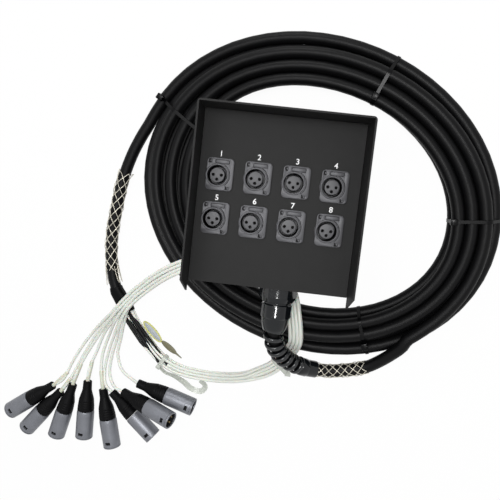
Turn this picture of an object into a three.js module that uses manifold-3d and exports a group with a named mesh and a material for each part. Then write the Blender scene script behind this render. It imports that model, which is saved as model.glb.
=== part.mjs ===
import * as THREE from "three";
import { mergeVertices } from "three/addons/utils/BufferGeometryUtils.js";
import Module from "manifold-3d";

const wasm = await Module();
wasm.setup();

// Clearance between neighbouring pieces and the reach of a cutter past what it cuts
const GAP = 0.3;
const PAST = 2;
const MERGE = 0.001;
const HALF = 0.5;

// Case, in its own frame: x to the right, y to the top, z out of the front plate
const SHEET = 1.6;
const CASE_WIDTH = 149;
const PLATE_LOW = -78;
const HOOD_TOP = 80;
const CHEEK_TIP = -88;
const CHEEK_RIM_LOW = -73;
const RECESS = 40;
const BACK_DEPTH = 46;
const BEND_RADIUS = 3;
const FLANGE_DEPTH = 8;
const COVER_FLANGE_DEPTH = 10;
const COVER_FLANGE_HIGH = 70;
const COVER_SCREW_Y = 55;
const COVER_SCREW_INSET = 5;
const SCREW_HOLE_R = 1.6;
const SIDE_TILT_DEG = 10;
const END_TILT_DEG = 4;
const CASE_X = 0.5209;
const CASE_Y = 2.6535;
const CASE_Z = 63.5038;

// Panel sockets
const COLUMNS = 4;
const ROWS = 2;
const GRID_X = -1.97;
const GRID_Y = 0.67;
const GRID_SIDE_MARGIN = 5.7;
const PITCH_Y = 39.4;
const FLANGE_W = 24.4;
const FLANGE_H = 29;
const FLANGE_R = 3.7;
const FLANGE_T = 2;
const BORE_X = -2.15;
const BORE_Y = -0.95;
const BORE_R = 8.9;
const BARREL_R = 11.1;
const BARREL_DEPTH = 22;
const INSERT_R = 7;
const INSERT_PROUD = 1.6;
const INSERT_FOOT = 5;
const CONTACT_R = 1.25;
const CONTACT_DEPTH = 10;
const CONTACT_CIRCLE = 3.75;
const CONTACT_ANGLES_DEG = [177, 3, 270];
const FLANGE_HOLES = [
  [-8.9, 11.4],
  [8.5, -12],
];
const LATCH_X = 1.5;
const LATCH_W = 12.2;
const LATCH_LOW = 9.7;
const LATCH_HIGH = 12.9;
const LATCH_PROUD = 2.9;
const LATCH_FOOT_SIDE = 0.9;
const LATCH_FOOT_DEPTH = 3;
const LATCH_TAIL_DEPTH = 5;
const LATCH_TRAVEL = 1.6;

// Cable gland and its spiral
const GLAND_X = 11;
const GLAND_DEPTH_SHARE = 0.52174;
const CABLE_R = 5.7;
const CABLE_CLEAR_R = 6.05;
const GLAND_HEX_R = 17.6;
const GLAND_HEX_SHOULDER = -88;
const GLAND_HEX_END = -92.5;
const GLAND_HEX_END_R = 14.4;
const GLAND_THREAD_R = 10;
const GLAND_THREAD_TOP = -66;
const GLAND_SEAT_R = 8.8;
const GLAND_SEAT_TOP = -84;
const LOCK_NUT_R = 15.5;
const LOCK_NUT_T = 5;
const DOME_NECK_R = 12.4;
const DOME_NECK_END = -95;
const DOME_R = 14;
const DOME_SHOULDER = -110;
const DOME_TIP = -121;
const DOME_TIP_R = 10.6;
const SPIRAL_PITCH = 7.7;
const SPIRAL_TURNS = 8;
const SPIRAL_STEPS = 8;
const SPIRAL_SIDES = 5;
const SPIRAL_R_START = 8.25;
const SPIRAL_R_END = 8.05;
const SPIRAL_WIRE_R = 1.65;
const SPIRAL_SUNK = 3;
const COLLAR_LENGTH = 20;
const COLLAR_R = 9;

// Cable
const CABLE_STEP = 6;
const CABLE_SIDES = 8;
const CORE_R = 1.5;
const CORE_SIDES = 5;
const CORE_STEPS = 5;
const CORE_PLANE_Z = -33;
const CORE_END_Z = -25.5;
const CORE_RISE_Z = -35;
const LEAD_TOP = -62;
const LEAD_ROUTE = [
  [8, -129, 45.5],
  [11, -139, 41],
  [17, -148, 35],
  [26, -155.5, 28],
  [38, -161, 19.5],
  [51, -163.5, 12.8],
  [63, -163.8, 9.8],
  [74, -162, 7.6],
  [87, -158.5, 7.1],
  [99, -153.5, 7.5],
  [110, -145, 10.2],
  [120, -135, 14.4],
  [129, -124.5, 17.7],
];
const END_ROUTE = [
  [-156.5, 52, 6.6],
  [-165, 34, 7],
  [-171, 17, 7.3],
  [-176, -1, 7.3],
  [-179.5, -23, 7.3],
  [-182.5, -45, 7.3],
  [-183.5, -65, 7.3],
  [-182, -85, 7.3],
  [-178.5, -103, 7],
  [-174, -116, 6.9],
];

// Coil: an oval wound in two layers, inwards above and outwards below
const COIL_X = 22.3;
const COIL_Y = 4.4;
const COIL_A = 138.3;
const COIL_B = 109.7;
const COIL_TURN_DEG = -16;
const COIL_START_DEG = -29;
const COIL_PITCH = 12;
const COIL_LOW_Z = 6.5;
const COIL_HIGH_Z = 18.5;
const COIL_TURNS = 6.556;
const COIL_IN_TURNS = 2.5;
const COIL_DROP_TURNS = 0.5;
const COIL_DROP_SHARE = 0.15;
const COIL_START_SWING = 3.2;
const COIL_SWING_TURNS = 0.15;
const COIL_STEPS = 24;
const COIL_SIDES = 6;

// Mesh grips
const GRIP_SIDES = 8;
const GRIP_INNER_R = 6.4;
const GRIP_OUTER_R = 7.1;
const GRIP_LENGTH = 48;
const GRIP_GAP = 2;
const END_GRIP_START = 56;
const END_GRIP_LENGTH = 104;

// Fan-out: moulded boot, bundle of tails and the fan to the plugs
const BREAKOUT_W = 8.4;
const BREAKOUT_WALL = 0.9;
const BREAKOUT_TALL = 6.3;
const BREAKOUT_LOW = 5.1;
const BREAKOUT_SIDES = 12;
const BREAKOUT_LAP = 5;
const LOOM_HALF_W = 6.8;
const LOOM_HALF_H = 3.4;
const LOOM_CHAMFER = 2;
const LOOM_STEPS = 44;
const LOOM_ROUTE = [
  [-162.6, -133.4, 5.4],
  [-154, -148, 5],
  [-141, -163, 5],
  [-127, -176, 5.2],
  [-115, -185, 5.4],
  [-97, -192, 5],
  [-74, -194, 4.4],
  [-52, -193, 4.2],
  [-30, -189, 4.2],
  [-11, -181, 5.2],
  [3, -172, 6.4],
  [12, -162, 8],
  [19.5, -150.5, 12.6],
  [24.5, -142, 19],
  [27, -133, 27.4],
  [26.2, -121, 30],
  [23.5, -108, 29.6],
  [20.2, -97, 25],
  [15.5, -88, 18.2],
  [8, -81, 13.8],
  [-10, -74, 12.2],
  [-34, -69, 15.6],
  [-50, -67, 21.6],
  [-64, -67, 27.4],
  [-78, -68.5, 29.1],
  [-92, -72.5, 29.1],
  [-108, -81, 27.4],
  [-124, -92, 23.6],
  [-138, -104, 19.6],
  [-150, -115, 17.7],
];
const TAIL_R = 1.7;
const TAIL_SIDES = 6;
const TAIL_STEPS = 12;
const TAIL_COLUMN = 3.4;
const TAIL_LAYER = 1.72;
const FAN_START = [-160, -127.5, 16.8];
const FAN_ROUTES = [
  [[-178, -141, 12], [-197, -162, 5], [-213, -185, 3.2], [-224, -206, 4.5], [-232.5, -226.9, 8.8]],
  [[-178, -143, 12], [-195, -166, 5], [-208, -189, 3.2], [-216.5, -207, 3.5], [-223.5, -223, 5.5],
    [-228.2, -233, 9]],
  [[-176, -144, 12], [-192, -167, 5], [-205, -189, 3.2], [-213, -206, 5], [-216.5, -218.3, 9]],
  [[-174, -146, 11.5], [-187, -166, 5], [-196, -190, 3.4], [-200, -203, 6], [-201.2, -211.5, 9.2]],
  [[-171, -147, 11.5], [-181, -167, 5], [-188, -189, 3.4], [-188, -205, 6], [-184.8, -218.7, 9.2]],
  [[-168, -148, 11.5], [-176, -169, 5], [-182, -190, 3.4], [-184, -208, 5], [-180, -223.4, 9]],
  [[-165, -148, 12], [-171.5, -170, 5.5], [-177, -192, 4.2], [-177, -212, 6.5], [-168.8, -224.4, 9.2]],
  [[-162, -148, 12], [-167, -169, 5.5], [-170, -188, 4], [-163, -204, 6.2], [-149.9, -211, 9.2]],
];

// Plugs: where each boot starts, which way its mouth points and how far the mouth is raised, in degrees
const PLUG_AXIS_Z = 9.85;
const PLUG_PLACES = [
  [-243.6, -235.4, -142.5],
  [-233.8, -240.7, -128],
  [-219.2, -229.8, -105.5],
  [-201.4, -222.5, -91],
  [-182.5, -228.4, -77],
  [-171.8, -230.1, -39],
  [-158.5, -227.6, -12.5, 14.5],
  [-142, -214.5, -13.2],
];
const BOOT_LENGTH = 34;
const BOOT_BORE_R = 2.3;
const BOOT_PROFILE = [
  [4.8, 0],
  [5.1, 9],
  [5.8, 13],
  [8.2, 21],
  [9, 26],
  [9.2, BOOT_LENGTH],
];
const PLUG_LENGTH = 67;
const PLUG_R = 9.6;
const PLUG_MOUTH_R = 7.9;
const PLUG_FLOOR = 51;
const PLUG_REAR_R = 9.3;
const PLUG_REAR_RUN = 3;
const PIN_R = 1.2;
const PIN_TIP = 65.5;
const PIN_CIRCLE = 3.9;
const WINDOW_AT = 60.5;
const WINDOW_LONG = 3.4;
const WINDOW_WIDE = 5.6;
const TAIL_IN_BOOT = 27;
const TAIL_SETTLE = 7;

// Cable ties round the coil: angle on the oval, head's share of the way across, side of the head
const TIE_WIDTH = 3.6;
const TIE_SIDES = 12;
const TIE_SIDE_CLEAR = 0.5;
const TIE_FLAT_CLEAR = 0.15;
const TIE_T = 0.5;
const TIE_HEAD = [6, 4.6, 4.6];
const TIE_ANGLES_DEG = [166, 81, 18, -50];
const TIE_HEAD_SHARES = [0.84, 0.16, 0.1, 0.75];

// Clear ties round the bundle
const WRAP_SHARES = [0.142, 0.418];
const WRAP_CLEAR = 0.45;
const WRAP_T = 0.8;
const WRAP_WIDTH = 4.4;
const WRAP_HEAD = [6, 5, 6];
const WRAP_TAIL_H = 3;
const WRAP_TAIL_T = 1;
const WRAP_TAIL_STEPS = 16;
const WRAP_TAILS = [
  [[-114, -200.5, 3], [-104, -203.5, 2.2], [-93, -208.5, 2.1], [-82, -216, 2.1], [-69, -217, 2.1],
    [-65.5, -210, 2.1], [-74, -205.5, 2.1]],
  [[19.5, -174, 6.2], [20.2, -176.6, 4.8], [19.6, -179.4, 3.4]],
];

// Marker tag
const TAG_X = -131.7;
const TAG_Y = -156;
const TAG_DEG = -42.3;
const TAG_OVAL = [14.8, 4.3];
const TAG_BODY_X = -111.7;
const TAG_BODY_Y = -170.4;
const TAG_BODY_DEG = -33;
const TAG_BODY = [11.5, 4];
const TAG_POINT = 17;
const TAG_POINT_W = 1.2;
const TAG_Z = 2;
const TAG_T = 1.6;

const SMALL_SIDES = 6;
const ROUND_SIDES = 16;
const PLUG_SIDES = 12;
const BOOT_SIDES = 10;

const glandZ = -BACK_DEPTH * GLAND_DEPTH_SHARE;
const X_AXIS = new THREE.Vector3(1, 0, 0);
const Y_AXIS = new THREE.Vector3(0, 1, 0);
const UP = new THREE.Vector3(0, 0, 1);

const SHADES = {
  coat: { color: 0x343434, roughness: 0.6, metalness: 0.3 },
  socket: { color: 0x606062, roughness: 0.5, metalness: 0.4 },
  insert: { color: 0x5c5c5e, roughness: 0.6, metalness: 0 },
  nylon: { color: 0x2c3134, roughness: 0.3, metalness: 0 },
  jacket: { color: 0x2b2b2c, roughness: 0.7, metalness: 0 },
  wire: { color: 0xb8b09c, roughness: 0.4, metalness: 0.8 },
  tail: { color: 0xe6e6dc, roughness: 0.6, metalness: 0 },
  plug: { color: 0x84868c, roughness: 0.4, metalness: 0.8 },
  boot: { color: 0x161618, roughness: 0.7, metalness: 0 },
  tie: { color: 0x1a1a1a, roughness: 0.5, metalness: 0 },
  clear: { color: 0xdcdfdc, roughness: 0.3, metalness: 0 },
  tag: { color: 0xb9b36a, roughness: 0.5, metalness: 0 },
};
const materials = {};
for (const [name, look] of Object.entries(SHADES)) {
  materials[name] = new THREE.MeshStandardMaterial(look);
}

const radians = (deg) => THREE.MathUtils.degToRad(deg);

// A closed solid from a surface
function toSolid(geometry) {
  const flat = geometry.index ? geometry.toNonIndexed() : geometry;
  const bare = new THREE.BufferGeometry();
  bare.setAttribute("position", flat.getAttribute("position"));
  const merged = mergeVertices(bare, MERGE);
  const corners = [];
  const order = merged.index.array;
  for (let i = 0; i < order.length; i += 3) {
    const [a, b, c] = [order[i], order[i + 1], order[i + 2]];
    if (a !== b && b !== c && c !== a) {
      corners.push(a, b, c);
    }
  }
  const data = { numProp: 3, vertProperties: merged.attributes.position.array };
  data.triVerts = new Uint32Array(corners);
  return new wasm.Manifold(new wasm.Mesh(data));
}

// A surface from a closed solid
function toGeometry(solid) {
  const mesh = solid.getMesh();
  const made = new THREE.BufferGeometry();
  made.setAttribute("position", new THREE.BufferAttribute(new Float32Array(mesh.vertProperties), 3));
  made.setIndex(new THREE.BufferAttribute(new Uint32Array(mesh.triVerts), 1));
  made.computeVertexNormals();
  return made;
}

const plus = (first, ...rest) => rest.reduce((sum, next) => sum.add(next), first);
const minus = (first, ...rest) => rest.reduce((sum, next) => sum.subtract(next), first);

// A rectangular block between two corners
function block(x0, x1, y0, y1, z0, z1) {
  const made = new THREE.BoxGeometry(x1 - x0, y1 - y0, z1 - z0);
  made.translate((x0 + x1) * HALF, (y0 + y1) * HALF, (z0 + z1) * HALF);
  return toSolid(made);
}

// An upright rod along z
function rodZ(x, y, radius, z0, z1, sides) {
  const made = new THREE.CylinderGeometry(radius, radius, z1 - z0, sides);
  made.rotateX(Math.PI * HALF);
  made.translate(x, y, (z0 + z1) * HALF);
  return toSolid(made);
}

// A rod along y
function rodY(x, z, radius, y0, y1, sides) {
  const made = new THREE.CylinderGeometry(radius, radius, y1 - y0, sides);
  made.translate(x, (y0 + y1) * HALF, z);
  return toSolid(made);
}

// A rod along x
function rodX(y, z, radius, x0, x1, sides) {
  const made = new THREE.CylinderGeometry(radius, radius, x1 - x0, sides);
  made.rotateZ(Math.PI * HALF);
  made.translate((x0 + x1) * HALF, y, z);
  return toSolid(made);
}

// A turned body about y from a list of radius and height
function turned(profile, sides) {
  const points = profile.map(([r, h]) => new THREE.Vector2(r, h));
  return new THREE.LatheGeometry(points, sides);
}

// A flat outline pushed out along z
function slab(points, z0, z1) {
  const shape = new THREE.Shape(points.map(([x, y]) => new THREE.Vector2(x, y)));
  const made = new THREE.ExtrudeGeometry(shape, { depth: z1 - z0, bevelEnabled: false });
  made.translate(0, 0, z0);
  return made;
}

// A rounded rectangle pushed out along z
function roundedSlab(width, height, radius, z0, z1) {
  const w = width * HALF;
  const h = height * HALF;
  const shape = new THREE.Shape();
  shape.moveTo(w, h - radius);
  shape.absarc(w - radius, h - radius, radius, 0, Math.PI * HALF);
  shape.absarc(radius - w, h - radius, radius, Math.PI * HALF, Math.PI);
  shape.absarc(radius - w, radius - h, radius, Math.PI, Math.PI + Math.PI * HALF);
  shape.absarc(w - radius, radius - h, radius, Math.PI + Math.PI * HALF, Math.PI * 2);
  const options = { depth: z1 - z0, bevelEnabled: false, curveSegments: 2 };
  const made = new THREE.ExtrudeGeometry(shape, options);
  made.translate(0, 0, z0);
  return toSolid(made);
}

function ringPoints(radius, sides) {
  const points = [];
  for (let i = 0; i < sides; i += 1) {
    const angle = (i / sides) * Math.PI * 2;
    points.push(new THREE.Vector2(radius * Math.cos(angle), radius * Math.sin(angle)));
  }
  return points;
}

const curveThrough = (points) => new THREE.CatmullRomCurve3(points, false, "centripetal");
const vectors = (list) => list.map(([x, y, z]) => new THREE.Vector3(x, y, z));

// A tube or sleeve along a curve
function along(curve, steps, outer, sides, inner = 0) {
  const shape = new THREE.Shape(ringPoints(outer, sides));
  if (inner > 0) {
    shape.holes.push(new THREE.Path(ringPoints(inner, sides)));
  }
  return new THREE.ExtrudeGeometry(shape, { steps, bevelEnabled: false, extrudePath: curve });
}

// The stretch of a curve between two lengths measured along it
function stretch(curve, from, to) {
  const whole = curve.getLength();
  const count = Math.max(2, Math.ceil((to - from) / CABLE_STEP) * 2);
  const points = [];
  for (let i = 0; i <= count; i += 1) {
    const here = from + ((to - from) * i) / count;
    points.push(curve.getPointAt(Math.min(1, here / whole)));
  }
  return curveThrough(points);
}

// A skin over rings that stand across a path, closed by a fan at each end
function ringBody(points, sideways, halfWidths, halfHeights, sides) {
  const positions = [];
  const order = [];
  const last = points.length - 1;
  points.forEach((point, i) => {
    const before = points[Math.max(0, i - 1)];
    const after = points[Math.min(last, i + 1)];
    const run = after.clone().sub(before).normalize();
    const across = sideways[i].clone().addScaledVector(run, -sideways[i].dot(run)).normalize();
    const over = across.clone().cross(run);
    for (let j = 0; j < sides; j += 1) {
      const angle = (j / sides) * Math.PI * 2;
      const spot = point.clone();
      spot.addScaledVector(across, halfWidths[i] * Math.cos(angle));
      spot.addScaledVector(over, halfHeights[i] * Math.sin(angle));
      positions.push(spot.x, spot.y, spot.z);
    }
  });
  for (let i = 0; i < last; i += 1) {
    for (let j = 0; j < sides; j += 1) {
      const next = (j + 1) % sides;
      const [a, b] = [i * sides + j, i * sides + next];
      const [c, d] = [a + sides, b + sides];
      order.push(a, b, c, b, d, c);
    }
  }
  for (let j = 1; j < sides - 1; j += 1) {
    order.push(0, j + 1, j);
    order.push(last * sides, last * sides + j, last * sides + j + 1);
  }
  const made = new THREE.BufferGeometry();
  made.setAttribute("position", new THREE.Float32BufferAttribute(positions, 3));
  made.setIndex(order);
  made.computeVertexNormals();
  return made;
}

// The same, turned the right way out whichever way its rings run
function ringSolid(...given) {
  const made = ringBody(...given);
  const solid = toSolid(made);
  if (solid.volume() > 0) {
    return solid;
  }
  const order = made.index.array;
  for (let i = 0; i < order.length; i += 3) {
    [order[i + 1], order[i + 2]] = [order[i + 2], order[i + 1]];
  }
  return toSolid(made);
}

const part = new THREE.Group();
part.name = "stage_box_snake";
const whole = new THREE.Group();
const housing = new THREE.Group();
part.add(whole);
whole.add(housing);

function addTo(group, name, shape, shade) {
  const geometry = shape.isBufferGeometry ? shape : toGeometry(shape);
  const mesh = new THREE.Mesh(geometry, materials[shade]);
  mesh.name = name;
  group.add(mesh);
  return mesh;
}

// Guard hood: top wall and two cheeks bent from one sheet
const outerX = CASE_WIDTH * HALF;
const innerX = outerX - SHEET;
const innerTop = HOOD_TOP - SHEET;
const hoodLow = CHEEK_TIP - PAST;
const bend = new THREE.Shape();
bend.moveTo(outerX, hoodLow);
bend.lineTo(outerX, HOOD_TOP - BEND_RADIUS);
bend.absarc(outerX - BEND_RADIUS, HOOD_TOP - BEND_RADIUS, BEND_RADIUS, 0, Math.PI * HALF);
bend.absarc(BEND_RADIUS - outerX, HOOD_TOP - BEND_RADIUS, BEND_RADIUS, Math.PI * HALF, Math.PI);
bend.lineTo(-outerX, hoodLow);
bend.lineTo(-innerX, hoodLow);
bend.lineTo(-innerX, innerTop);
bend.lineTo(innerX, innerTop);
bend.lineTo(innerX, hoodLow);
const bendOptions = { depth: RECESS + BACK_DEPTH + PAST * 2, bevelEnabled: false, curveSegments: 3 };
const bent = new THREE.ExtrudeGeometry(bend, bendOptions);
bent.translate(0, 0, -BACK_DEPTH - PAST);
const cheekOutline = [
  [HOOD_TOP + PAST, -BACK_DEPTH],
  [HOOD_TOP + PAST, RECESS],
  [CHEEK_RIM_LOW, RECESS],
  [CHEEK_TIP, 0],
  [PLATE_LOW, 0],
  [PLATE_LOW, -BACK_DEPTH],
];
const cheekCut = slab(cheekOutline, -CASE_WIDTH, CASE_WIDTH);
cheekCut.applyMatrix4(new THREE.Matrix4().makeBasis(Y_AXIS, UP, X_AXIS));
const coverHoles = (x0, x1) =>
  [-COVER_SCREW_Y, COVER_SCREW_Y].map((y) =>
    rodX(y, COVER_SCREW_INSET - BACK_DEPTH, SCREW_HOLE_R, x0, x1, SMALL_SIDES),
  );
const hood = minus(
  toSolid(bent).intersect(toSolid(cheekCut)),
  ...coverHoles(-CASE_WIDTH, CASE_WIDTH),
);
addTo(housing, "guard_hood", hood, "coat");

// Socket places on the front plate
const sockets = [];
const pitchX = (CASE_WIDTH - GRID_SIDE_MARGIN * 2) / COLUMNS;
for (let row = 0; row < ROWS; row += 1) {
  for (let column = 0; column < COLUMNS; column += 1) {
    const x = GRID_X + (column - (COLUMNS - 1) * HALF) * pitchX;
    const y = GRID_Y - (row - (ROWS - 1) * HALF) * PITCH_Y;
    sockets.push([x, y]);
  }
}

// Front plate with its folded lower wall and stiffening flanges
const plateX = innerX - GAP;
const plateTop = innerTop - GAP;
const lowInner = PLATE_LOW + SHEET;
let plate = plus(
  block(-plateX, plateX, PLATE_LOW, plateTop, -SHEET, 0),
  block(-plateX, plateX, PLATE_LOW, lowInner, -BACK_DEPTH, 0),
  block(-plateX, SHEET - plateX, PLATE_LOW, plateTop, -FLANGE_DEPTH - SHEET, 0),
  block(plateX - SHEET, plateX, PLATE_LOW, plateTop, -FLANGE_DEPTH - SHEET, 0),
  block(-plateX, plateX, plateTop - SHEET, plateTop, -FLANGE_DEPTH - SHEET, 0),
);
const latchHalf = LATCH_W * HALF;
for (const [x, y] of sockets) {
  const hole = rodZ(x + BORE_X, y + BORE_Y, BARREL_R + GAP, -SHEET - PAST, PAST, ROUND_SIDES);
  const side = latchHalf + LATCH_FOOT_SIDE + GAP;
  const middle = x + LATCH_X;
  const notch = block(middle - side, middle + side, y, y + LATCH_HIGH + GAP, -SHEET - PAST, PAST);
  const fixings = FLANGE_HOLES.map(([hx, hy]) =>
    rodZ(x + hx, y + hy, SCREW_HOLE_R, -SHEET - PAST, PAST, SMALL_SIDES),
  );
  plate = minus(plate, hole, notch, ...fixings);
}
const glandHole = rodY(
  GLAND_X,
  glandZ,
  GLAND_THREAD_R + GAP,
  PLATE_LOW - PAST,
  lowInner + PAST,
  ROUND_SIDES,
);
addTo(housing, "front_panel", minus(plate, glandHole), "coat");

// Back cover with two screwed side flanges
const coverFlangeZ = -BACK_DEPTH + COVER_FLANGE_DEPTH;
const cover = minus(
  plus(
    block(-plateX, plateX, lowInner + GAP, plateTop, -BACK_DEPTH, SHEET - BACK_DEPTH),
    block(-plateX, SHEET - plateX, -COVER_FLANGE_HIGH, COVER_FLANGE_HIGH, -BACK_DEPTH, coverFlangeZ),
    block(plateX - SHEET, plateX, -COVER_FLANGE_HIGH, COVER_FLANGE_HIGH, -BACK_DEPTH, coverFlangeZ),
  ),
  ...coverHoles(-CASE_WIDTH, CASE_WIDTH),
);
addTo(housing, "back_cover", cover, "coat");

// Sockets, their inserts and their push latches
const flangeFront = GAP + FLANGE_T;
const insertProfile = [
  [0, -BARREL_DEPTH],
  [BORE_R - GAP, -BARREL_DEPTH],
  [BORE_R - GAP, INSERT_FOOT - BARREL_DEPTH],
  [INSERT_R, INSERT_FOOT - BARREL_DEPTH],
  [INSERT_R, INSERT_PROUD],
  [0, INSERT_PROUD],
];
sockets.forEach(([x, y], i) => {
  const label = i + 1;
  const shell = minus(
    plus(
      roundedSlab(FLANGE_W, FLANGE_H, FLANGE_R, GAP, flangeFront),
      rodZ(BORE_X, BORE_Y, BARREL_R, -BARREL_DEPTH, GAP + FLANGE_T * HALF, ROUND_SIDES),
    ),
    rodZ(BORE_X, BORE_Y, BORE_R, -BARREL_DEPTH - PAST, flangeFront + PAST, ROUND_SIDES),
    block(
      LATCH_X - latchHalf - GAP,
      LATCH_X + latchHalf + GAP,
      LATCH_LOW - GAP,
      LATCH_HIGH + GAP,
      -BARREL_DEPTH * HALF,
      flangeFront + PAST,
    ),
    block(
      LATCH_X - latchHalf - LATCH_FOOT_SIDE - GAP,
      LATCH_X + latchHalf + LATCH_FOOT_SIDE + GAP,
      LATCH_LOW - GAP,
      LATCH_HIGH + GAP,
      -BARREL_DEPTH * HALF,
      GAP,
    ),
    ...FLANGE_HOLES.map(([hx, hy]) => rodZ(hx, hy, SCREW_HOLE_R, -PAST, flangeFront + PAST, SMALL_SIDES)),
  );
  addTo(housing, "xlr_shell_" + label, shell, "socket").position.set(x, y, 0);

  const core = turned(insertProfile, ROUND_SIDES);
  core.rotateX(Math.PI * HALF);
  const contacts = CONTACT_ANGLES_DEG.map((deg) =>
    rodZ(
      CONTACT_CIRCLE * Math.cos(radians(deg)),
      CONTACT_CIRCLE * Math.sin(radians(deg)),
      CONTACT_R,
      INSERT_PROUD - CONTACT_DEPTH,
      INSERT_PROUD + PAST,
      SMALL_SIDES,
    ),
  );
  const insert = minus(toSolid(core), ...contacts);
  addTo(housing, "xlr_insert_" + label, insert, "insert").position.set(x + BORE_X, y + BORE_Y, 0);

  const foot = latchHalf + LATCH_FOOT_SIDE;
  const latch = plus(
    block(-latchHalf, latchHalf, LATCH_LOW, LATCH_HIGH, -LATCH_TAIL_DEPTH, LATCH_PROUD),
    block(-foot, foot, LATCH_LOW, LATCH_HIGH, -LATCH_FOOT_DEPTH, 0),
  );
  addTo(housing, "push_latch_" + label, latch, "socket").position.set(x + LATCH_X, y, 0);
});

// Cable gland body and its lock nut
const hexPrism = (radius, y0, y1) => {
  const made = new THREE.CylinderGeometry(radius, radius, y1 - y0, 6);
  made.rotateY(Math.PI * HALF);
  made.translate(0, (y0 + y1) * HALF, 0);
  return toSolid(made);
};
const hexTop = PLATE_LOW - GAP;
const hexEnd = turned(
  [
    [0, GLAND_HEX_END],
    [GLAND_HEX_END_R, GLAND_HEX_END],
    [GLAND_HEX_R, GLAND_HEX_SHOULDER],
    [GLAND_HEX_R, hexTop + PAST],
    [0, hexTop + PAST],
  ],
  ROUND_SIDES,
);
const glandBody = minus(
  plus(
    hexPrism(GLAND_HEX_R, GLAND_HEX_END, hexTop).intersect(toSolid(hexEnd)),
    rodY(0, 0, GLAND_THREAD_R, hexTop - GAP, GLAND_THREAD_TOP, ROUND_SIDES),
  ),
  rodY(0, 0, CABLE_CLEAR_R, GLAND_HEX_END - PAST, GLAND_THREAD_TOP + PAST, ROUND_SIDES),
  rodY(0, 0, GLAND_SEAT_R, GLAND_HEX_END - PAST, GLAND_SEAT_TOP, ROUND_SIDES),
);
addTo(housing, "gland_body", glandBody, "nylon").position.set(GLAND_X, 0, glandZ);
const nutLow = lowInner + GAP;
const lockNut = minus(
  hexPrism(LOCK_NUT_R, nutLow, nutLow + LOCK_NUT_T),
  rodY(0, 0, GLAND_THREAD_R + GAP, nutLow - PAST, nutLow + LOCK_NUT_T + PAST, ROUND_SIDES),
);
addTo(housing, "gland_lock_nut", lockNut, "nylon").position.set(GLAND_X, 0, glandZ);

// The case lies on the coil, tipped, with its sheet metal centred on the coil's frame
housing.rotation.set(-radians(END_TILT_DEG), radians(SIDE_TILT_DEG), 0);
housing.position.set(CASE_X, CASE_Y, CASE_Z);
housing.updateMatrixWorld(true);
const atCase = (x, y, z) => housing.localToWorld(new THREE.Vector3(x, y, z));

// Coil path
const coilAngle = (turns) => radians(COIL_START_DEG) + turns * Math.PI * 2;
const coilLean = radians(COIL_TURN_DEG);
function coilBase(angle) {
  const spot = new THREE.Vector3(COIL_A * Math.cos(angle), COIL_B * Math.sin(angle), 0);
  return spot.applyAxisAngle(UP, coilLean).add(new THREE.Vector3(COIL_X, COIL_Y, 0));
}
function coilOut(angle) {
  const spot = new THREE.Vector3(COIL_B * Math.cos(angle), COIL_A * Math.sin(angle), 0);
  return spot.normalize().applyAxisAngle(UP, coilLean);
}
const outTurns = COIL_IN_TURNS + COIL_DROP_TURNS;
function coilOffset(turns) {
  if (turns < COIL_IN_TURNS) {
    const swing = Math.max(0, 1 - turns / COIL_SWING_TURNS);
    return COIL_PITCH * (COIL_IN_TURNS - turns) + COIL_START_SWING * swing * swing;
  }
  if (turns < outTurns) {
    const share = (turns - COIL_IN_TURNS) / COIL_DROP_TURNS;
    return -COIL_DROP_SHARE * COIL_PITCH * Math.sin(Math.PI * share);
  }
  return COIL_PITCH * (turns - outTurns);
}
function coilHeight(turns) {
  const share = THREE.MathUtils.smoothstep(turns, COIL_IN_TURNS, outTurns);
  return THREE.MathUtils.lerp(COIL_HIGH_Z, COIL_LOW_Z, share);
}
function coilPoint(turns) {
  const angle = coilAngle(turns);
  const spot = coilBase(angle).addScaledVector(coilOut(angle), coilOffset(turns));
  spot.z = coilHeight(turns);
  return spot;
}
const coilCount = Math.round(COIL_TURNS * COIL_STEPS);
const coilRun = [];
for (let i = 0; i <= coilCount; i += 1) {
  coilRun.push(coilPoint((i / coilCount) * COIL_TURNS));
}
const nudge = 1 / COIL_STEPS / COIL_STEPS;
const heading = (from, to) => to.clone().sub(from).normalize();
const startHeading = heading(coilPoint(0), coilPoint(nudge));
const endHeading = heading(coilPoint(COIL_TURNS - nudge), coilPoint(COIL_TURNS));
const straight = CABLE_R * 2;
const coilFirst = coilPoint(0).addScaledVector(startHeading, -straight);
const coilLast = coilPoint(COIL_TURNS).addScaledVector(endHeading, straight);
const coilPath = [coilFirst, ...coilRun, coilLast];
const coilRadii = coilPath.map(() => CABLE_R);
const coilSides = coilPath.map(() => UP);
const coil = ringSolid(coilPath, coilSides, coilRadii, coilRadii, COIL_SIDES);
addTo(whole, "multicore_coil", coil, "jacket");

// Least gap of the coil to itself, on points of its smooth path
let least = Infinity;
const fine = [];
const fineCount = coilCount * 2;
for (let i = 0; i <= fineCount; i += 1) {
  fine.push(coilPoint((i / fineCount) * COIL_TURNS));
}
const skip = COIL_STEPS;
for (let i = 0; i < fine.length; i += 1) {
  for (let j = i + skip; j < fine.length; j += 1) {
    least = Math.min(least, fine[i].distanceTo(fine[j]));
  }
}
console.log("least gap of the coil to itself " + (least - CABLE_R * 2).toFixed(2) + " mm");

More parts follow.
